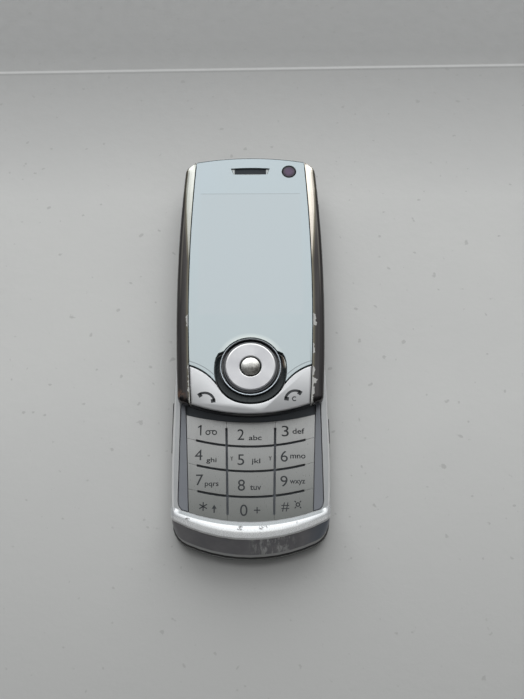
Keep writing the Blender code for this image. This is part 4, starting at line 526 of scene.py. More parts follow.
DISC_COLOURS = ((0.66, 0.66, 0.69), (0.74, 0.74, 0.76))
DISC_PAINTED_HIGHLIGHT = (0.97, 0.97, 0.97)
DISC_CLOUDS = (300.0, 3.0)
DISC_METAL = 0.5

# Faint painted reflection in sectors, as a turned finish shows it: how many, how far turned
SECTORS = 3.0
SECTOR_SHIFT = -0.6
SECTOR_STRENGTH = 0.3
SECTOR_PAINTED_REFLECTION = (0.42, 0.42, 0.45)

# Rings of the disc by radius: the bevel and the rim of its hole with a painted highlight,
# the skirt and two dark lines on it; and the heights between which the highlight fades
BEVEL_RING = (7.3 * MM, 7.75 * MM)
BEVEL_FADE = (NAV_CENTRE.y - 2.0 * MM, NAV_CENTRE.y + 3.0 * MM)
HOLE_RING = (3.3 * MM, 3.6 * MM)
HOLE_FADE = (NAV_CENTRE.y - 2.5 * MM, NAV_CENTRE.y - 1.0 * MM)
SKIRT_START = (7.78 * MM, 7.88 * MM)
SKIRT_COLOUR = (0.16, 0.165, 0.175)
SKIRT_METAL_LOSS = 0.3
SKIRT_LINE = (7.85 * MM, 8.0 * MM)
SKIRT_END = (high("nav_ring").x - 0.3 * MM, high("nav_ring").x - 0.2 * MM)
SKIRT_DARK = (0.02, 0.022, 0.026)


def disc_material():
    """The direction key: a bright disc, painted reflection sectors, a painted highlight, a darker
    skirt.
    """
    shade = Shade("direction_disc")
    _, gloss = shade.grained(*GRAINS["direction_disc"])
    radius = shade.reach(NAV_CENTRE)
    base = shade.cloudy(shade.noise(*DISC_CLOUDS), *DISC_COLOURS)
    turn = shade.math("ARCTAN2", shade.minus(shade.y, NAV_CENTRE.y), shade.x)
    wave = shade.math("SINE", shade.plus(shade.times(turn, SECTORS), SECTOR_SHIFT))
    base = shade.blend(shade.spread(wave, 0.0, SECTOR_STRENGTH, -1.0, 1.0), base, SECTOR_PAINTED_REFLECTION)
    # Painted highlight on the bevel towards the top and on the hole's rim towards the bottom
    bevel = shade.times(shade.within(radius, *BEVEL_RING, 0.15 * MM),
                        shade.rise(shade.y, *BEVEL_FADE))
    rim = shade.times(shade.within(radius, *HOLE_RING, 0.1 * MM), shade.fall(shade.y, *HOLE_FADE))
    base = shade.tint(base, shade.either(bevel, rim), DISC_PAINTED_HIGHLIGHT)
    skirt = shade.rise(radius, *SKIRT_START)
    base = shade.tint(base, skirt, SKIRT_COLOUR)
    lines = shade.either(shade.within(radius, *SKIRT_LINE, 0.1 * MM),
                         shade.rise(radius, *SKIRT_END))
    shade.colour(shade.tint(base, lines, SKIRT_DARK))
    shade.metal(shade.minus(DISC_METAL, shade.times(skirt, SKIRT_METAL_LOSS)))
    shade.rough(gloss)
    return shade.material


DOME_PAINTED_SHADE = (0.22, 0.21, 0.19)
DOME_PAINTED_LIGHT = (0.56, 0.56, 0.55)
DOME_SPOTS = (0.74, 0.73, 0.70)
DOME_SPOT_SPREAD = (0.0, 0.55, 0.45, 0.7)
DOME_FADE = (-2.6 * MM, 2.2 * MM)
DOME_LEAN = -0.7


def dome_material():
    """The middle key: worn, mottled chrome, painted lighter to its upper left and darker below."""
    shade = Shade("middle_dome")
    mottle, gloss = shade.grained(*GRAINS["middle_dome"])
    # Painted light and shade: lighter towards the upper left, darker towards the lower right
    lean = shade.plus(shade.minus(shade.y, NAV_CENTRE.y), shade.times(shade.x, DOME_LEAN))
    base = shade.blend(shade.rise(lean, *DOME_FADE), DOME_PAINTED_SHADE, DOME_PAINTED_LIGHT)
    base = shade.blend(shade.spread(mottle, *DOME_SPOT_SPREAD), base, DOME_SPOTS)
    shade.colour(base)
    shade.set("Metallic", 0.9)
    shade.rough(gloss)
    return shade.material


RIM_LIGHT = ((0.36, 0.40, 0.44), (0.44, 0.48, 0.52))
RIM_PAINTED_SHADE = (0.16, 0.17, 0.18)
RIM_FADE = (NAV_CENTRE.y + 1.0 * MM, NAV_CENTRE.y + 8.0 * MM)


def rim_material():
    """The thin metal ring round the direction key, with painted shade dimming its top."""
    shade = Shade("ring_chrome")
    fine, gloss = shade.grained(*GRAINS["ring_chrome"])
    bright = shade.cloudy(fine, *RIM_LIGHT)
    # Painted shade: the ring is coloured dimmer towards its top
    shade.colour(shade.tint(bright, shade.rise(shade.y, *RIM_FADE), RIM_PAINTED_SHADE))
    shade.set("Metallic", 1.0)
    shade.rough(gloss)
    return shade.material


CRESCENT = ((0.008, 0.012, 0.014), (0.016, 0.022, 0.024))
GLINT_RISE = 4.0 * MM
GLINT_RING = (10.6 * MM, 11.35 * MM)
PAINTED_GLINT_COLOUR = (0.66, 0.66, 0.62)
REFLECTION_LINE_RING = (10.15 * MM, 10.65 * MM)
REFLECTION_LINE_COLOUR = (0.16, 0.12, 0.09)


def bezel_material():
    """The black crescent round the key, with a painted glint and brownish painted reflection at its
    right tip.
    """
    shade = Shade("black_crescent")
    fine, gloss = shade.grained(*GRAINS["black_crescent"])
    radius = shade.reach(NAV_CENTRE)
    # Painted glint at the right tip, with a brownish painted reflection line inside it
    tip = shade.times(shade.within(shade.y, NAV_CENTRE.y, NAV_CENTRE.y + GLINT_RISE, 1.4 * MM),
                      shade.rise(shade.x, 0.0, MM))
    brown = shade.times(tip, shade.within(radius, *REFLECTION_LINE_RING, 0.3 * MM))
    glint = shade.times(tip, shade.within(radius, *GLINT_RING, 0.2 * MM))
    base = shade.tint(shade.cloudy(fine, *CRESCENT), brown, REFLECTION_LINE_COLOUR)
    shade.colour(shade.tint(base, glint, PAINTED_GLINT_COLOUR))
    shade.rough(gloss)
    shade.set("Specular IOR Level", 0.16)
    return shade.material


KEY_PAINTED_SHADE = (0.19, 0.20, 0.19)
KEY_PAINTED_LIGHT = (0.52, 0.52, 0.52)
KEY_CLOUD = (0.33, 0.33, 0.325)
KEY_CLOUDS = (110.0, 3.0)
KEY_CLOUD_SHARE = 0.3
KEY_BRUSHED = (0.22, 0.22, 0.22)


def key_material():
    """Brushed metal keys with painted shade that darkens them towards the chin."""
    shade = Shade("key_metal")
    brushed, gloss = shade.grained(*GRAINS["key_metal"])
    # Painted shade: the keys are coloured darker towards the chin
    base = shade.blend(shade.rise(shade.y, low("key_0").y, high("key_1").y), KEY_PAINTED_SHADE, KEY_PAINTED_LIGHT)
    cloud = shade.spread(shade.noise(*KEY_CLOUDS), 0.0, KEY_CLOUD_SHARE)
    base = shade.blend(cloud, base, KEY_CLOUD)
    base = shade.blend(shade.spread(brushed, 0.0, GRAIN_SHARE), base, KEY_BRUSHED)
    shade.colour(base)
    shade.set("Metallic", 0.7)
    shade.rough(gloss)
    return shade.material


SIDE_PAINT = ((0.40, 0.41, 0.42), (0.45, 0.46, 0.47))
SIDE_PAINTED_HIGHLIGHT = (0.92, 0.92, 0.92)
SIDE_LEAN = (0.3, 0.85)
SIDE_LEAN_SOFT = 0.2
SIDE_METAL = 0.5
SIDE_METAL_LOSS = 0.4
SIDE_FACING_UP = (0.1, 0.3)


def side_material():
    """Silver paint, with a painted highlight where the sides round over."""
    shade = Shade("silver_case")
    _, gloss = shade.grained(*GRAINS["silver_case"])
    base = shade.cloudy(shade.noise(*CLOUDS), *SIDE_PAINT)
    across, _, upwards = shade.normal()
    # Painted highlight: paler where the surface leans sideways and faces up
    leaning = shade.within(shade.math("ABSOLUTE", across), *SIDE_LEAN, SIDE_LEAN_SOFT)
    rounded = shade.times(leaning, shade.rise(upwards, *SIDE_FACING_UP))
    shade.colour(shade.tint(base, rounded, SIDE_PAINTED_HIGHLIGHT))
    shade.metal(shade.minus(SIDE_METAL, shade.times(rounded, SIDE_METAL_LOSS)))
    shade.rough(gloss)
    return shade.material


# Small grey marks on the chin's bright band: centre x, centre y, half width
CHIN_MARKS = (
    (-3.1, -43.5, 1.1), (3.1, -43.2, 1.1), (4.8, -43.0, 0.7), (-18.2, -41.0, 0.8),
    (13.4, -42.0, 0.4),
)
MARK_COLOUR = (0.13, 0.13, 0.13)
MARK_CORE = 0.6
MARK_NOISE = (1500.0, 4.0, 0.7)
MARK_BREAKS = (0.44, 0.54)
CHIN_CLOUDS = (120.0, 3.0)
CHIN_PAINT = ((0.70, 0.72, 0.745), (0.76, 0.775, 0.795))
CHIN_METAL = 0.35

# Bands of the chin by their distance from its inner edge: a lip with painted shade, which
# ends short of the sides, and a pale crest with a painted highlight
LIP_BAND = (1.0 * MM, 1.3 * MM)
LIP_END = 20.5 * MM
LIP_PAINTED_SHADE = (0.25, 0.265, 0.275)
CREST_BAND = (2.2 * MM, 2.8 * MM)
CREST_PAINTED_HIGHLIGHT = (0.95, 0.96, 0.97)
FRONT_EDGE = (low("chin_cover").z + 0.8 * MM, low("chin_cover").z + MM)
FRONT_EDGE_HIGHLIGHT = (0.97, 0.97, 0.97)


def chin_lip():
    """The chin's inner edge: its y in the middle, and how fast it rises as y over x squared."""
    points = [vertex.co for vertex in frame["nodes"]["chin_cover"].data.vertices]
    middle = max(point.y for point in points if abs(point.x) < HAIR)
    return middle, (high("chin_cover").y - middle) / high("chin_cover").x ** 2


def chin_material():
    """Bright silver paint with small scuffs, painted shade on the lip and painted highlights beyond
    it.
    """
    shade = Shade("bright_chin")
    _, gloss = shade.grained(*GRAINS["bright_chin"])
    base = shade.cloudy(shade.noise(*CHIN_CLOUDS), *CHIN_PAINT)
    ragged = shade.rise(shade.noise(*MARK_NOISE), *MARK_BREAKS)
    marks = [shade.fall(shade.reach((x * MM, y * MM)), half * MARK_CORE * MM, half * MM)
             for x, y, half in CHIN_MARKS]
    base = shade.tint(base, shade.times(shade.either(*marks), ragged), MARK_COLOUR)
    lip_y, bow = chin_lip()
    past = shade.minus(shade.plus(shade.bowed(bow), lip_y), shade.y)
    # Painted highlight on the crest, and painted shade on the lip at the keys
    crest = shade.rise(past, *CREST_BAND)
    base = shade.tint(base, crest, CREST_PAINTED_HIGHLIGHT)
    lip = shade.times(shade.fall(past, *LIP_BAND),
                      shade.fall(shade.sides(), LIP_END, LIP_END + MM))
    base = shade.tint(base, lip, LIP_PAINTED_SHADE)
    # Painted highlight along the front edge
    edge = shade.times(shade.fall(shade.z, *FRONT_EDGE), crest)
    shade.colour(shade.tint(base, edge, FRONT_EDGE_HIGHLIGHT))
    shade.metal(shade.minus(CHIN_METAL, shade.times(edge, CHIN_METAL)))
    shade.rough(gloss)
    return shade.material


FACE_COLOURS = ((0.20, 0.195, 0.21), (0.28, 0.27, 0.285))
FACE_BLUE = (0.16, 0.18, 0.22)
BLUE_START = (15.0 * MM, 20.0 * MM)
FACE_CLOUDS = (160.0, 4.0, 0.6)
SCUFF_X = (1.0 * MM, 11.5 * MM)
SCUFF_SOFT = 4.0 * MM
SCUFF_LOW = 0.35
SCUFF_COLOUR = (0.7, 0.7, 0.7)
SCUFF_LINES = (900.0, 5.0, 0.75)
SCUFF_STRETCH = (1.0, 0.22, 0.22)
SCUFF_LINE_BREAKS = (0.50, 0.60)
SCUFF_PATCHES = (420.0, 3.0, 0.6)
SCUFF_PATCH_BREAKS = (0.40, 0.50)
SCUFF_ROUGHNESS = 0.2
FOOT = low("chin_face").z
FOOT_LINE = (FOOT + 0.5 * MM, FOOT + 1.4 * MM)
FOOT_PAINTED_HIGHLIGHT = (0.5, 0.5, 0.5)
FOOT_GAP = (FOOT - MM, FOOT + 0.4 * MM)
FOOT_DARK = (0.008, 0.008, 0.008)


def chin_face_material():
    """The chin's dark face: cloudy, bluish at its right end, with pale upright scuffs."""
    shade = Shade("dark_chin")
    _, gloss = shade.grained(*GRAINS["dark_chin"])
    base = shade.cloudy(shade.noise(*FACE_CLOUDS), *FACE_COLOURS)
    base = shade.tint(base, shade.rise(shade.x, *BLUE_START), FACE_BLUE)
    lines = shade.noise(*SCUFF_LINES, shade.stretched(SCUFF_STRETCH))
    patches = shade.noise(*SCUFF_PATCHES)
    upwards = shade.spread(shade.z, SCUFF_LOW, 1.0, FOOT, high("chin_face").z - MM)
    scuffs = shade.times(shade.within(shade.x, *SCUFF_X, SCUFF_SOFT), upwards,
                         shade.rise(lines, *SCUFF_LINE_BREAKS),
                         shade.rise(patches, *SCUFF_PATCH_BREAKS))
    base = shade.tint(base, scuffs, SCUFF_COLOUR)
    # Painted highlight: a pale line along the foot, with the dark gap below it
    base = shade.tint(base, shade.within(shade.z, *FOOT_LINE, 0.15 * MM), FOOT_PAINTED_HIGHLIGHT)
    shade.colour(shade.tint(base, shade.within(shade.z, *FOOT_GAP, 0.1 * MM), FOOT_DARK))
    shade.set("Metallic", 0.1)
    shade.rough(shade.plus(gloss, shade.times(scuffs, SCUFF_ROUGHNESS)))
    return shade.material


BACK_COLOURS = ((0.09, 0.095, 0.10), (0.115, 0.12, 0.125))
LEDGE_Z = FOOT - 0.8 * MM
LEDGE_WEAR_AND_HIGHLIGHT = (0.92, 0.91, 0.90)
LEDGE_NOISE = (500.0, 4.0)
LEDGE_WORN = (0.6, 1.0)
SEAM_START = (LEDGE_Z + 0.44 * MM, LEDGE_Z + 0.49 * MM)
SEAM_STRENGTH = 0.85
SEAM_COLOUR = (0.01, 0.01, 0.01)


def back_case_material():
    """Moulded grey plastic; a pale parting-edge line, worn and partly painted highlight; a dark
    seam above.
    """
    shade = Shade("grey_plastic")
    _, gloss = shade.grained(*GRAINS["grey_plastic"])
    base = shade.cloudy(shade.noise(*CLOUDS), *BACK_COLOURS)
    worn = shade.spread(shade.noise(*LEDGE_NOISE), *LEDGE_WORN)
    line = shade.times(shade.within(shade.z, LEDGE_Z, high("rear_case").z, 0.1 * MM), worn)
    # Pale line along the parting edge: partly wear, partly painted highlight
    base = shade.tint(base, line, LEDGE_WEAR_AND_HIGHLIGHT)
    seam = shade.spread(shade.z, 0.0, SEAM_STRENGTH, *SEAM_START)
    shade.colour(shade.tint(base, seam, SEAM_COLOUR))
    shade.rough(gloss)
    return shade.material


# Plain surfaces: slot, colour, its variation, roughness, grain scale, bump, anything else
PLAIN_SURFACES = (
    ("grey_strip", (0.21, 0.22, 0.245), 0.05, 0.34, 5000.0, 0.1, {"metallic": 0.3}),
    ("black_gloss", (0.012, 0.013, 0.016), 0.2, 0.12, 1500.0, 0.03,
     {"coat": 0.6, "wear": (0.12, 0.11, 0.11)}),
    ("black_plastic", (0.02, 0.02, 0.022), 0.2, 0.5, 6000.0, 0.3, {}),
    ("silver_plate", (0.56, 0.565, 0.58), 0.04, 0.4, 5000.0, 0.08, {"metallic": 0.5}),
    ("rubber", (0.20, 0.215, 0.24), 0.12, 0.7, 3000.0, 0.3, {}),
    ("steel", (0.42, 0.42, 0.41), 0.06, 0.33, 5000.0, 0.15,
     {"metallic": 1.0, "stretch": (0.1, 1.0, 1.0)}),
    ("board", (0.02, 0.12, 0.06), 0.2, 0.4, 2500.0, 0.2, {}),
    ("film", (0.45, 0.42, 0.3), 0.05, 0.35, 2500.0, 0.1, {}),
    ("antenna_brass", (0.55, 0.4, 0.15), 0.1, 0.3, 2500.0, 0.1, {"metallic": 1.0}),
    ("battery_wrap", (0.2, 0.2, 0.22), 0.08, 0.4, 2500.0, 0.1, {}),
    ("display", (0.03, 0.035, 0.04), 0.1, 0.1, 1500.0, 0.02, {}),
)


def make_materials():
    materials = {slot: finish_surface(slot, *values, **extra)
                 for slot, *values, extra in PLAIN_SURFACES}
    materials.update({
        "silver_case": side_material(),
        "bright_chin": chin_material(),
        "dark_chin": chin_face_material(),
        "grey_plastic": back_case_material(),
        "dark_chrome": rail_material(),
        "bright_chrome": rim_material(),
        "key_metal": key_material(),
        "front_glass": glass_material(),
        "lens": lens_material(),
    })
    return materials


def dress_frame(materials):
    slots = {row["node"]: row["material_slot"] for row in frame["record"]["subparts"]}
    for name, node in frame["nodes"].items():
        node.data.materials.clear()
        node.data.materials.append(materials[slots[name]])
    return slots


# Pieces made from the frame's own shapes

# Faces that meet at less than the first angle are one face, and those that meet at more
# than the second have an edge that is rounded
FLAT_ANGLE = math.radians(0.6)
EDGE_ANGLE = math.radians(28)


def link_mesh(name, shape, material):
    mesh = bpy.data.meshes.new(name)
    shape.to_mesh(mesh)
    shape.free()
    piece = bpy.data.objects.new(name, mesh)
    bpy.context.scene.collection.objects.link(piece)
    mesh.materials.append(material)
    return piece


def body_of(node):
    for body, members in frame["record"]["behaviour"]["bodies"].items():
        if node in members:
            return body
    raise ValueError(node)


def softened(node, material, width, segments=3, grown=0.0):
    """The node's own shape with rounded edges and smooth shading, grown sideways if asked."""
    shape = bmesh.new()
    shape.from_mesh(frame["nodes"][node].data)
    bmesh.ops.remove_doubles(shape, verts=shape.verts, dist=HAIR / 10)
    bmesh.ops.dissolve_limit(shape, angle_limit=FLAT_ANGLE, verts=shape.verts, edges=shape.edges)
    if grown:
        middle = (low(node) + high(node)) / 2
        half = (high(node) - low(node)) / 2
        for vertex in shape.verts:
            outward = vertex.co - middle
            vertex.co.x += grown * outward.x / half.x
            vertex.co.y += grown * outward.y / half.y
    piece = link_mesh("soft_" + node, shape, material)
    bevel = piece.modifiers.new("edge", "BEVEL")
    bevel.width = width
    bevel.segments = segments
    bevel.limit_method = "ANGLE"
    bevel.angle_limit = EDGE_ANGLE
    bevel.harden_normals = False
    piece.data.shade_smooth()
    piece.data.set_sharp_from_angle(angle=EDGE_ANGLE)
    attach(piece, body_of(node))
    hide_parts(node)


# Legends: thin ink on the keys and the call plate

def text_faces(body, bold):
    """A text's flat outline as a mesh, in its own units."""
    curve = bpy.data.curves.new("glyph", "FONT")
    curve.body = body
    curve.offset = bold
    curve.resolution_u = 8
    carrier = bpy.data.objects.new("glyph", curve)
    bpy.context.scene.collection.objects.link(carrier)
    bpy.context.view_layer.update()
    evaluated = carrier.evaluated_get(bpy.context.evaluated_depsgraph_get())
    mesh = bpy.data.meshes.new_from_object(evaluated)
    bpy.data.objects.remove(carrier)
    bpy.data.curves.remove(curve)
    return mesh


def fitted_text(body, centre, size, bold):
    """The text's faces stretched to a width and height about a centre."""
    mesh = text_faces(body, bold)
    shape = bmesh.new()
    shape.from_mesh(mesh)
    bpy.data.meshes.remove(mesh)
    xs = [vertex.co.x for vertex in shape.verts]
    ys = [vertex.co.y for vertex in shape.verts]
    left, bottom = min(xs), min(ys)
    width, height = max(xs) - left, max(ys) - bottom
    for vertex in shape.verts:
        share_x = (vertex.co.x - left) / width - 0.5
        share_y = (vertex.co.y - bottom) / height - 0.5
        vertex.co = (centre[0] + share_x * size[0], centre[1] + share_y * size[1], 0.0)
    return shape


def stroke(shape, points, width, closed=False):
    """A flat band of even width along points."""
    count = len(points)
    sides = []
    for i, point in enumerate(points):
        before = points[i - 1] if i or closed else point
        after = points[(i + 1) % count] if i < count - 1 or closed else point
        direction = (Vector(after) - Vector(before)).normalized()
        across = Vector((-direction.y, direction.x)) * width / 2
        sides.append((
            shape.verts.new((point[0] + across.x, point[1] + across.y, 0.0)),
            shape.verts.new((point[0] - across.x, point[1] - across.y, 0.0)),
        ))
    for i in range(count if closed else count - 1):
        a, b = sides[i], sides[(i + 1) % count]
        shape.faces.new((a[0], a[1], b[1], b[0]))


def ring_points(centre, radius, count=20, start=0.0, turn=2 * math.pi):
    closed = abs(turn) > 2 * math.pi - HAIR
    last = count if closed else count - 1
    return [
        (centre[0] + radius * math.cos(start + turn * i / last),
         centre[1] + radius * math.sin(start + turn * i / last))
        for i in range(count)
    ]


def put_in_order(shape):
    """Sorts corners and faces by place, as an extrusion leaves them in another order each run."""
    for items, place in (
        (shape.verts, lambda vertex: tuple(vertex.co)),
        (shape.faces, lambda face: [tuple(vertex.co) for vertex in face.verts]),
    ):
        ranks = {item: rank for rank, item in enumerate(sorted(items, key=place))}
        items.sort(key=ranks.get)


def ink(name, shape, material, body, z):
    """Turns flat faces into a thin solid on a surface at height z."""
    bmesh.ops.remove_doubles(shape, verts=shape.verts, dist=HAIR / 10)
    bmesh.ops.recalc_face_normals(shape, faces=shape.faces)
    for face in shape.faces:
        if face.normal.z < 0:
            face.normal_flip()
    made = bmesh.ops.extrude_face_region(shape, geom=list(shape.faces))
    for item in made["geom"]:
        if isinstance(item, bmesh.types.BMVert):
            item.co.z += INK_THICK
    bmesh.ops.recalc_face_normals(shape, faces=shape.faces)
    put_in_order(shape)
    for vertex in shape.verts:
        vertex.co.z += z
    piece = link_mesh(name, shape, material)
    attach(piece, body)


# Each row: key, what it shows, centre and size in mm, measured on the keypad
KEY_TEXTS = (
    ("key_2", "2", (-3.05, -14.19), (2.06, 3.4)),
    ("key_2", "abc", (1.34, -15.2), (3.9, 1.6)),
    ("key_3", "3", (10.51, -13.16), (2.15, 3.4)),
    ("key_3", "def", (14.58, -13.2), (3.7, 1.7)),
    ("key_4", "4", (-15.76, -20.50), (2.3, 3.3)),
    ("key_4", "ghi", (-11.89, -22.3), (3.1, 1.9)),
    ("key_5", "5", (-3.00, -22.07), (1.98, 3.3)),
    ("key_5", "jkl", (1.5, -22.7), (2.7, 1.9)),
    ("key_6", "6", (10.08, -21.07), (2.15, 3.4)),
    ("key_6", "mno", (14.20, -21.2), (4.6, 1.2)),
    ("key_7", "7", (-15.33, -28.21), (2.17, 3.3)),
    ("key_7", "pqrs", (-11.69, -29.8), (4.1, 1.6)),
    ("key_8", "8", (-2.82, -29.87), (2.13, 3.4)),
    ("key_8", "tuv", (1.41, -30.6), (3.3, 1.5)),
    ("key_9", "9", (9.89, -28.75), (2.14, 3.3)),
    ("key_9", "wxyz", (13.93, -29.2), (4.6, 1.6)),
    ("key_0", "0", (-2.10, -37.4), (2.2, 3.4)),
    ("key_0", "+", (1.83, -37.4), (1.9, 1.9)),
    ("key_hash", "#", (10.15, -36.5), (2.3, 2.7)),
)

# How far the outlines of digits and letters are thickened
DIGIT_BOLD = 0.0
LETTER_BOLD = 0.013

# The signs that are drawn as strokes: where they are, and their sizes
INK_WIDTH = 0.34 * MM
INK_THIN = INK_WIDTH * 0.8
ONE_PLACE = (-15.3 * MM, -12.75 * MM)
ONE_RISE = 1.65 * MM
ONE_FLAG = (0.85 * MM, 0.75 * MM)
ONE_WIDTH = 0.42 * MM
TICK_PLACES = ((-5.76 * MM, -21.7 * MM), (5.86 * MM, -21.7 * MM))
TICK_RISE = 0.65 * MM
VOICE_CENTRE = (-12.08 * MM, -13.5 * MM)
VOICE_SPAN = 1.0 * MM
VOICE_RADIUS = 0.62 * MM
STAR_CENTRE = (-14.09 * MM, -36.2 * MM)
STAR_REACH = 1.3 * MM
ARROW_CENTRE = (-10.82 * MM, -36.9 * MM)
ARROW_SIZE = (1.5 * MM, 2.4 * MM)
SILENT_CENTRE = (13.89 * MM, -35.8 * MM)
SILENT_SIZE = (1.9 * MM, 2.2 * MM)
SILENT_RING = 0.55
SILENT_POINTS = 14
SILENT_START = 0.6


def draw_key_texts(material):
    for index, (key, body, centre, size) in enumerate(KEY_TEXTS):
        place = (centre[0] * MM, centre[1] * MM)
        bold = DIGIT_BOLD if len(body) == 1 else LETTER_BOLD
        shape = fitted_text(body, place, (size[0] * MM, size[1] * MM), bold)
        ink(f"legend_{index:02d}_{key}", shape, material, key, KEY_TOP)


def one_shape():
    """A plain 1: a stem, and a flag down to the left."""
    shape = bmesh.new()
    x, y = ONE_PLACE
    top = y + ONE_RISE
    stroke(shape, [(x, top), (x, y - ONE_RISE)], ONE_WIDTH)
    stroke(shape, [(x + ONE_WIDTH / 2, top - ONE_WIDTH / 3),
                   (x - ONE_FLAG[0], top - ONE_FLAG[1])], ONE_WIDTH * 0.9)
    return shape


def ticks_shape():
    """A small forked mark on each side of the 5."""
    shape = bmesh.new()
    for x, y in TICK_PLACES:
        stroke(shape, [(x, y + TICK_RISE / 3), (x, y - TICK_RISE)], INK_WIDTH)
        for side in (-1, 1):
            stroke(shape, [(x, y), (x + side * TICK_RISE / 2, y + TICK_RISE)], INK_THIN)
    return shape


def voice_shape():
    """A voicemail sign: two loops joined along their tops."""
    shape = bmesh.new()
    x, y = VOICE_CENTRE
    for side in (-1, 1):
        loop = ring_points((x + side * VOICE_SPAN, y), VOICE_RADIUS)
        stroke(shape, loop, INK_WIDTH, closed=True)
    half = (VOICE_SPAN + VOICE_RADIUS) / 2
    stroke(shape, [(x - half, y + VOICE_RADIUS), (x + half, y + VOICE_RADIUS)], INK_THIN)
    return shape


def star_shape():
    shape = bmesh.new()
    x, y = STAR_CENTRE
    for i in range(3):
        angle = math.pi / 2 + i * math.pi / 3
        along, up = math.cos(angle) * STAR_REACH, math.sin(angle) * STAR_REACH
        stroke(shape, [(x - along, y - up), (x + along, y + up)], INK_WIDTH)
    return shape


def arrow_shape():
    """An arrow pointing up: a filled head on a stem."""
    shape = bmesh.new()
    x, y = ARROW_CENTRE
    half, rise = ARROW_SIZE[0] / 2, ARROW_SIZE[1] / 2
    head = ((x - half, y, 0.0), (x + half, y, 0.0), (x, y + rise, 0.0))
    shape.faces.new([shape.verts.new(corner) for corner in head])
    stroke(shape, [(x, y + HAIR), (x, y - rise)], INK_WIDTH * 1.2)
    return shape


def silent_shape():
    """A muted ring: a small circle between four corner strokes."""
    shape = bmesh.new()
    x, y = SILENT_CENTRE
    half, rise = SILENT_SIZE[0] / 2, SILENT_SIZE[1] / 2
    stroke(shape, ring_points((x, y), half * SILENT_RING, SILENT_POINTS), INK_WIDTH, closed=True)
    for sx in (-1, 1):
        for sy in (-1, 1):
            stroke(shape, [(x + sx * half * SILENT_START, y + sy * rise * SILENT_START),
                           (x + sx * half, y + sy * rise)], INK_WIDTH)
    return shape


def draw_key_signs(material, faint):
    ink("legend_one", one_shape(), material, "key_1", KEY_TOP)
    ink("sign_ticks", ticks_shape(), faint, "key_5", KEY_TOP)
    ink("sign_voice", voice_shape(), material, "key_1", KEY_TOP)
    ink("sign_star", star_shape(), material, "key_star", KEY_TOP)
    ink("sign_arrow", arrow_shape(), material, "key_star", KEY_TOP)
    ink("sign_silent", silent_shape(), material, "key_hash", KEY_TOP)


HANDSET_TOP = (-12.73 * MM, -2.86 * MM)
END_TOP = (12.34 * MM, -2.29 * MM)
HANDSET_RADIUS = 3.0 * MM
HANDSET_WIDTH = 0.78 * MM
HANDSET_TILT = math.radians(25)
HANDSET_REACH = math.radians(56)
HANDSET_POINTS = 18
EAR_SIZE = (1.15 * MM, 1.0 * MM)
LETTER_PLACE = (13.35 * MM, -4.65 * MM)
LETTER_RADIUS = 0.62 * MM
LETTER_POINTS = 14
LETTER_GAP = math.radians(90)


def handset(shape, top, tilt):
    """A telephone receiver: a tilted arc with a pad turned inwards at each end."""
    middle = (top[0] + HANDSET_RADIUS * math.sin(tilt), top[1] - HANDSET_RADIUS * math.cos(tilt))
    start = math.pi / 2 + tilt - HANDSET_REACH
    turn = 2 * HANDSET_REACH
    stroke(shape, ring_points(middle, HANDSET_RADIUS, HANDSET_POINTS, start, turn), HANDSET_WIDTH)
    for angle in (start, start + turn):
        toward = Vector((math.cos(angle), math.sin(angle)))
        near = Vector(middle) + toward * (HANDSET_RADIUS + HANDSET_WIDTH / 2)
        far = Vector(middle) + toward * (HANDSET_RADIUS - EAR_SIZE[1])
        stroke(shape, [tuple(near), tuple(far)], EAR_SIZE[0])


def draw_call_signs(material):
    send = bmesh.new()
    handset(send, HANDSET_TOP, -HANDSET_TILT)
    ink("sign_send", send, material, "call_plate", PLATE_TOP)
    end = bmesh.new()
    handset(end, END_TOP, HANDSET_TILT)
    letter = ring_points(LETTER_PLACE, LETTER_RADIUS, LETTER_POINTS, LETTER_GAP / 2,
                         2 * math.pi - LETTER_GAP)
    stroke(end, letter, INK_WIDTH)
    ink("sign_end", end, material, "call_plate", PLATE_TOP)


# Stage, light and camera

FLOOR_HALF = 1.5
FLOOR_DROP = 0.02 * MM
FLOOR_CELLS = 8
FLOOR_PAINT = ((0.66, 0.66, 0.655), (0.70, 0.70, 0.69))
FLOOR_FAR_SHADE = (0.36, 0.36, 0.36)
FLOOR_FADE_FAR = (75 * MM, 140 * MM)
FLOOR_NEAR_SHADE = (0.53, 0.53, 0.525)
FLOOR_FADE_NEAR = (-90 * MM, 0.0)
FLOOR_SPECKS = (0.3, 0.3, 0.29)
SPECK_SHARE = 0.35
FLOOR_CLOUDS = (14.0, 5.0)
SPECK_NOISE = (330.0, 2.0, 0.4)
SPECK_BREAKS = (0.70, 0.74)

# The joint across the floor: its place in the middle, slope, groove and painted highlight on its
# edge
JOINT_Y = 130.4 * MM
JOINT_SLOPE = 0.0133
GROOVE_RUN = (JOINT_Y, JOINT_Y + 0.7 * MM)
GROOVE_SHARE = 0.35
GROOVE_COLOUR = (0.25, 0.25, 0.25)
LIT_EDGE_RUN = (JOINT_Y + 0.9 * MM, JOINT_Y + 1.9 * MM)
LIT_EDGE_SHARE = 0.5
LIT_EDGE_COLOUR = (0.8, 0.8, 0.8)


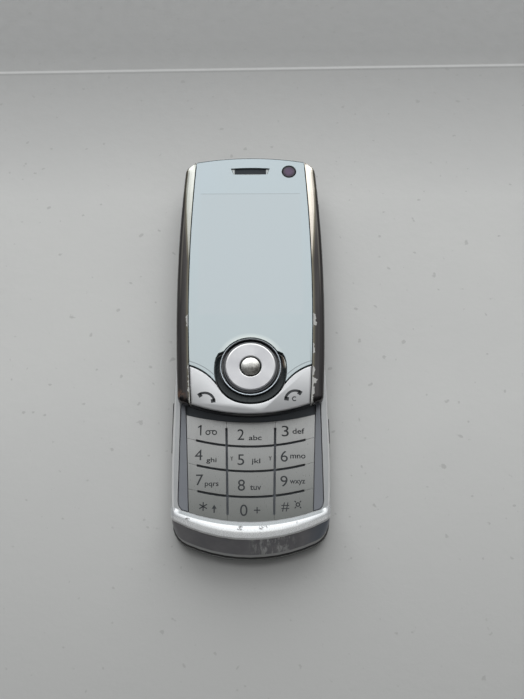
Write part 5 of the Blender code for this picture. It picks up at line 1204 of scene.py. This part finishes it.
def make_floor():
    shape = bmesh.new()
    bmesh.ops.create_grid(shape, x_segments=FLOOR_CELLS, y_segments=FLOOR_CELLS, size=FLOOR_HALF)
    shade = Shade("floor_paint")
    _, gloss = shade.grained(*GRAINS["floor_paint"])
    specks = shade.rise(shade.noise(*SPECK_NOISE), *SPECK_BREAKS)
    paint = shade.cloudy(shade.noise(*FLOOR_CLOUDS), *FLOOR_PAINT)
    # Painted shade: the floor is coloured darker far off and near the front
    paint = shade.tint(paint, shade.rise(shade.y, *FLOOR_FADE_FAR), FLOOR_FAR_SHADE)
    paint = shade.tint(paint, shade.fall(shade.y, *FLOOR_FADE_NEAR), FLOOR_NEAR_SHADE)
    paint = shade.tint(paint, specks, FLOOR_SPECKS, SPECK_SHARE)
    past = shade.minus(shade.y, shade.times(shade.x, JOINT_SLOPE))
    groove = shade.within(past, *GROOVE_RUN, 0.3 * MM)
    paint = shade.tint(paint, groove, GROOVE_COLOUR, GROOVE_SHARE)
    lit_edge = shade.within(past, *LIT_EDGE_RUN, 0.4 * MM)
    shade.colour(shade.tint(paint, lit_edge, LIT_EDGE_COLOUR, LIT_EDGE_SHARE))
    shade.rough(gloss)
    floor = link_mesh("floor", shape, shade.material)
    floor.location.z = -FLOOR_DROP


# The camera that was fitted to the photo
CAMERA_PLACE = (2.95 * MM, -90.37 * MM, 255.8 * MM)
CAMERA_TILT = math.radians(90 - 67.3)
CAMERA_YAW = math.radians(-0.35)
CAMERA_CLIP = 0.01
PHOTO_WIDTH = 524
FOCAL_PIXELS = 850
SENSOR_WIDTH = 36.0


def make_camera():
    camera = bpy.data.cameras.new("camera")
    camera.sensor_fit = "HORIZONTAL"
    camera.sensor_width = SENSOR_WIDTH
    camera.lens = FOCAL_PIXELS / PHOTO_WIDTH * SENSOR_WIDTH
    camera.clip_start = CAMERA_CLIP
    holder = bpy.data.objects.new("camera", camera)
    holder.location = CAMERA_PLACE
    holder.rotation_euler = (CAMERA_TILT, 0.0, CAMERA_YAW)
    bpy.context.scene.collection.objects.link(holder)
    bpy.context.scene.camera = holder


# The room's light by direction: strengths, and where they change along +Y, +X and +Z
ROOM_DARK = (0.07, 0.28)
ROOM_SHADE_Z = (0.15, 0.85)
ROOM_BRIGHT = 1.25
ROOM_Y = (0.14, 0.33)
WALL_SHARE = 0.3
WALL_X = (0.42, 0.72)
WINDOW_STRENGTH = 1.8
WINDOW_AZIMUTH = (0.62, 0.76)
WINDOW_Y = (0.0, 0.1)
WINDOW_LOW_Z = (0.05, 0.12)
WINDOW_HIGH_Z = (0.66, 0.78)
ROOM_COLOUR = (0.985, 1.0, 0.995, 1.0)


def make_world():
    """A pale room: its bright side towards +Y, darker walls left and right, and a low window."""
    world = bpy.data.worlds.new("room")
    world.use_nodes = True
    tree = world.node_tree

    def add(kind, *values, **settings):
        node = tree.nodes.new(kind)
        for key, value in settings.items():
            setattr(node, key, value)
        for socket, value in zip(node.inputs, values):
            if isinstance(value, float):
                socket.default_value = value
            else:
                tree.links.new(value, socket)
        return node.outputs[0]

    def change(value, places, first, second):
        return add("ShaderNodeMapRange", value, places[0], places[1], first, second,
                   interpolation_type="SMOOTHSTEP")

    def math_node(operation, *values):
        return add("ShaderNodeMath", *values, operation=operation)

    def times(first, second):
        return math_node("MULTIPLY", first, second)

    split = tree.nodes.new("ShaderNodeSeparateXYZ")
    direction = tree.nodes.new("ShaderNodeTexCoord").outputs["Generated"]
    tree.links.new(direction, split.inputs["Vector"])
    x, y, z = split.outputs
    wide = math_node("ABSOLUTE", x)
    shaded = change(z, ROOM_SHADE_Z, *ROOM_DARK)
    room = times(change(y, ROOM_Y, shaded, ROOM_BRIGHT), change(wide, WALL_X, 1.0, WALL_SHARE))
    flat = math_node("ADD", times(x, x), times(y, y))
    azimuth = math_node("DIVIDE", wide, math_node("SQRT", flat))
    window = times(change(azimuth, WINDOW_AZIMUTH, WINDOW_STRENGTH, 0.0),
                   change(y, WINDOW_Y, 0.0, 1.0))
    window = times(window, change(z, WINDOW_LOW_Z, 0.0, 1.0))
    window = times(window, change(z, WINDOW_HIGH_Z, 1.0, 0.0))
    background = tree.nodes["Background"]
    tree.links.new(math_node("ADD", room, window), background.inputs["Strength"])
    background.inputs["Color"].default_value = ROOM_COLOUR
    bpy.context.scene.world = world


# Pieces with rounded edges, by the width of the rounding
SOFT_EDGES = (
    (0.12 * MM, ("front_case", "chin_cover", "chin_face", "rear_case", "battery_cover",
                 "volume_rocker", "camera_key", "slider_rear_case", "slider_front_case")),
    (0.1 * MM, ("call_plate", "nav_rim", "keypad_strip_left", "keypad_strip_right")),
)
KEYS = [row["node"] for row in frame["record"]["subparts"] if row["material_slot"] == "key_metal"]
KEY_EDGE = 0.02 * MM
KEY_EDGE_SEGMENTS = 2
KEY_GROWTH = 0.05 * MM
DARK_INK = (0.022, 0.025, 0.03)
FAINT_INK = (0.13, 0.13, 0.13)


def main():
    bpy.context.scene.view_settings.view_transform = "Standard"
    make_camera()
    make_world()
    make_floor()
    materials = make_materials()
    slots = dress_frame(materials)
    for width, nodes in SOFT_EDGES:
        for node in nodes:
            softened(node, materials[slots[node]], width)
    for node, material, width in (
        ("nav_ring", disc_material(), 0.1 * MM),
        ("ok_button", dome_material(), 0.1 * MM),
        ("nav_bezel", bezel_material(), 0.03 * MM),
        ("earpiece_grille", grille_material(), 0.03 * MM),
    ):
        softened(node, material, width)
    for node in KEYS:
        softened(node, materials["key_metal"], KEY_EDGE, KEY_EDGE_SEGMENTS,
                 grown=KEY_GROWTH)
    dark_ink = ink_material("legend_ink", DARK_INK)
    draw_key_texts(dark_ink)
    draw_key_signs(dark_ink, ink_material("faint_ink", FAINT_INK))
    draw_call_signs(dark_ink)


main()
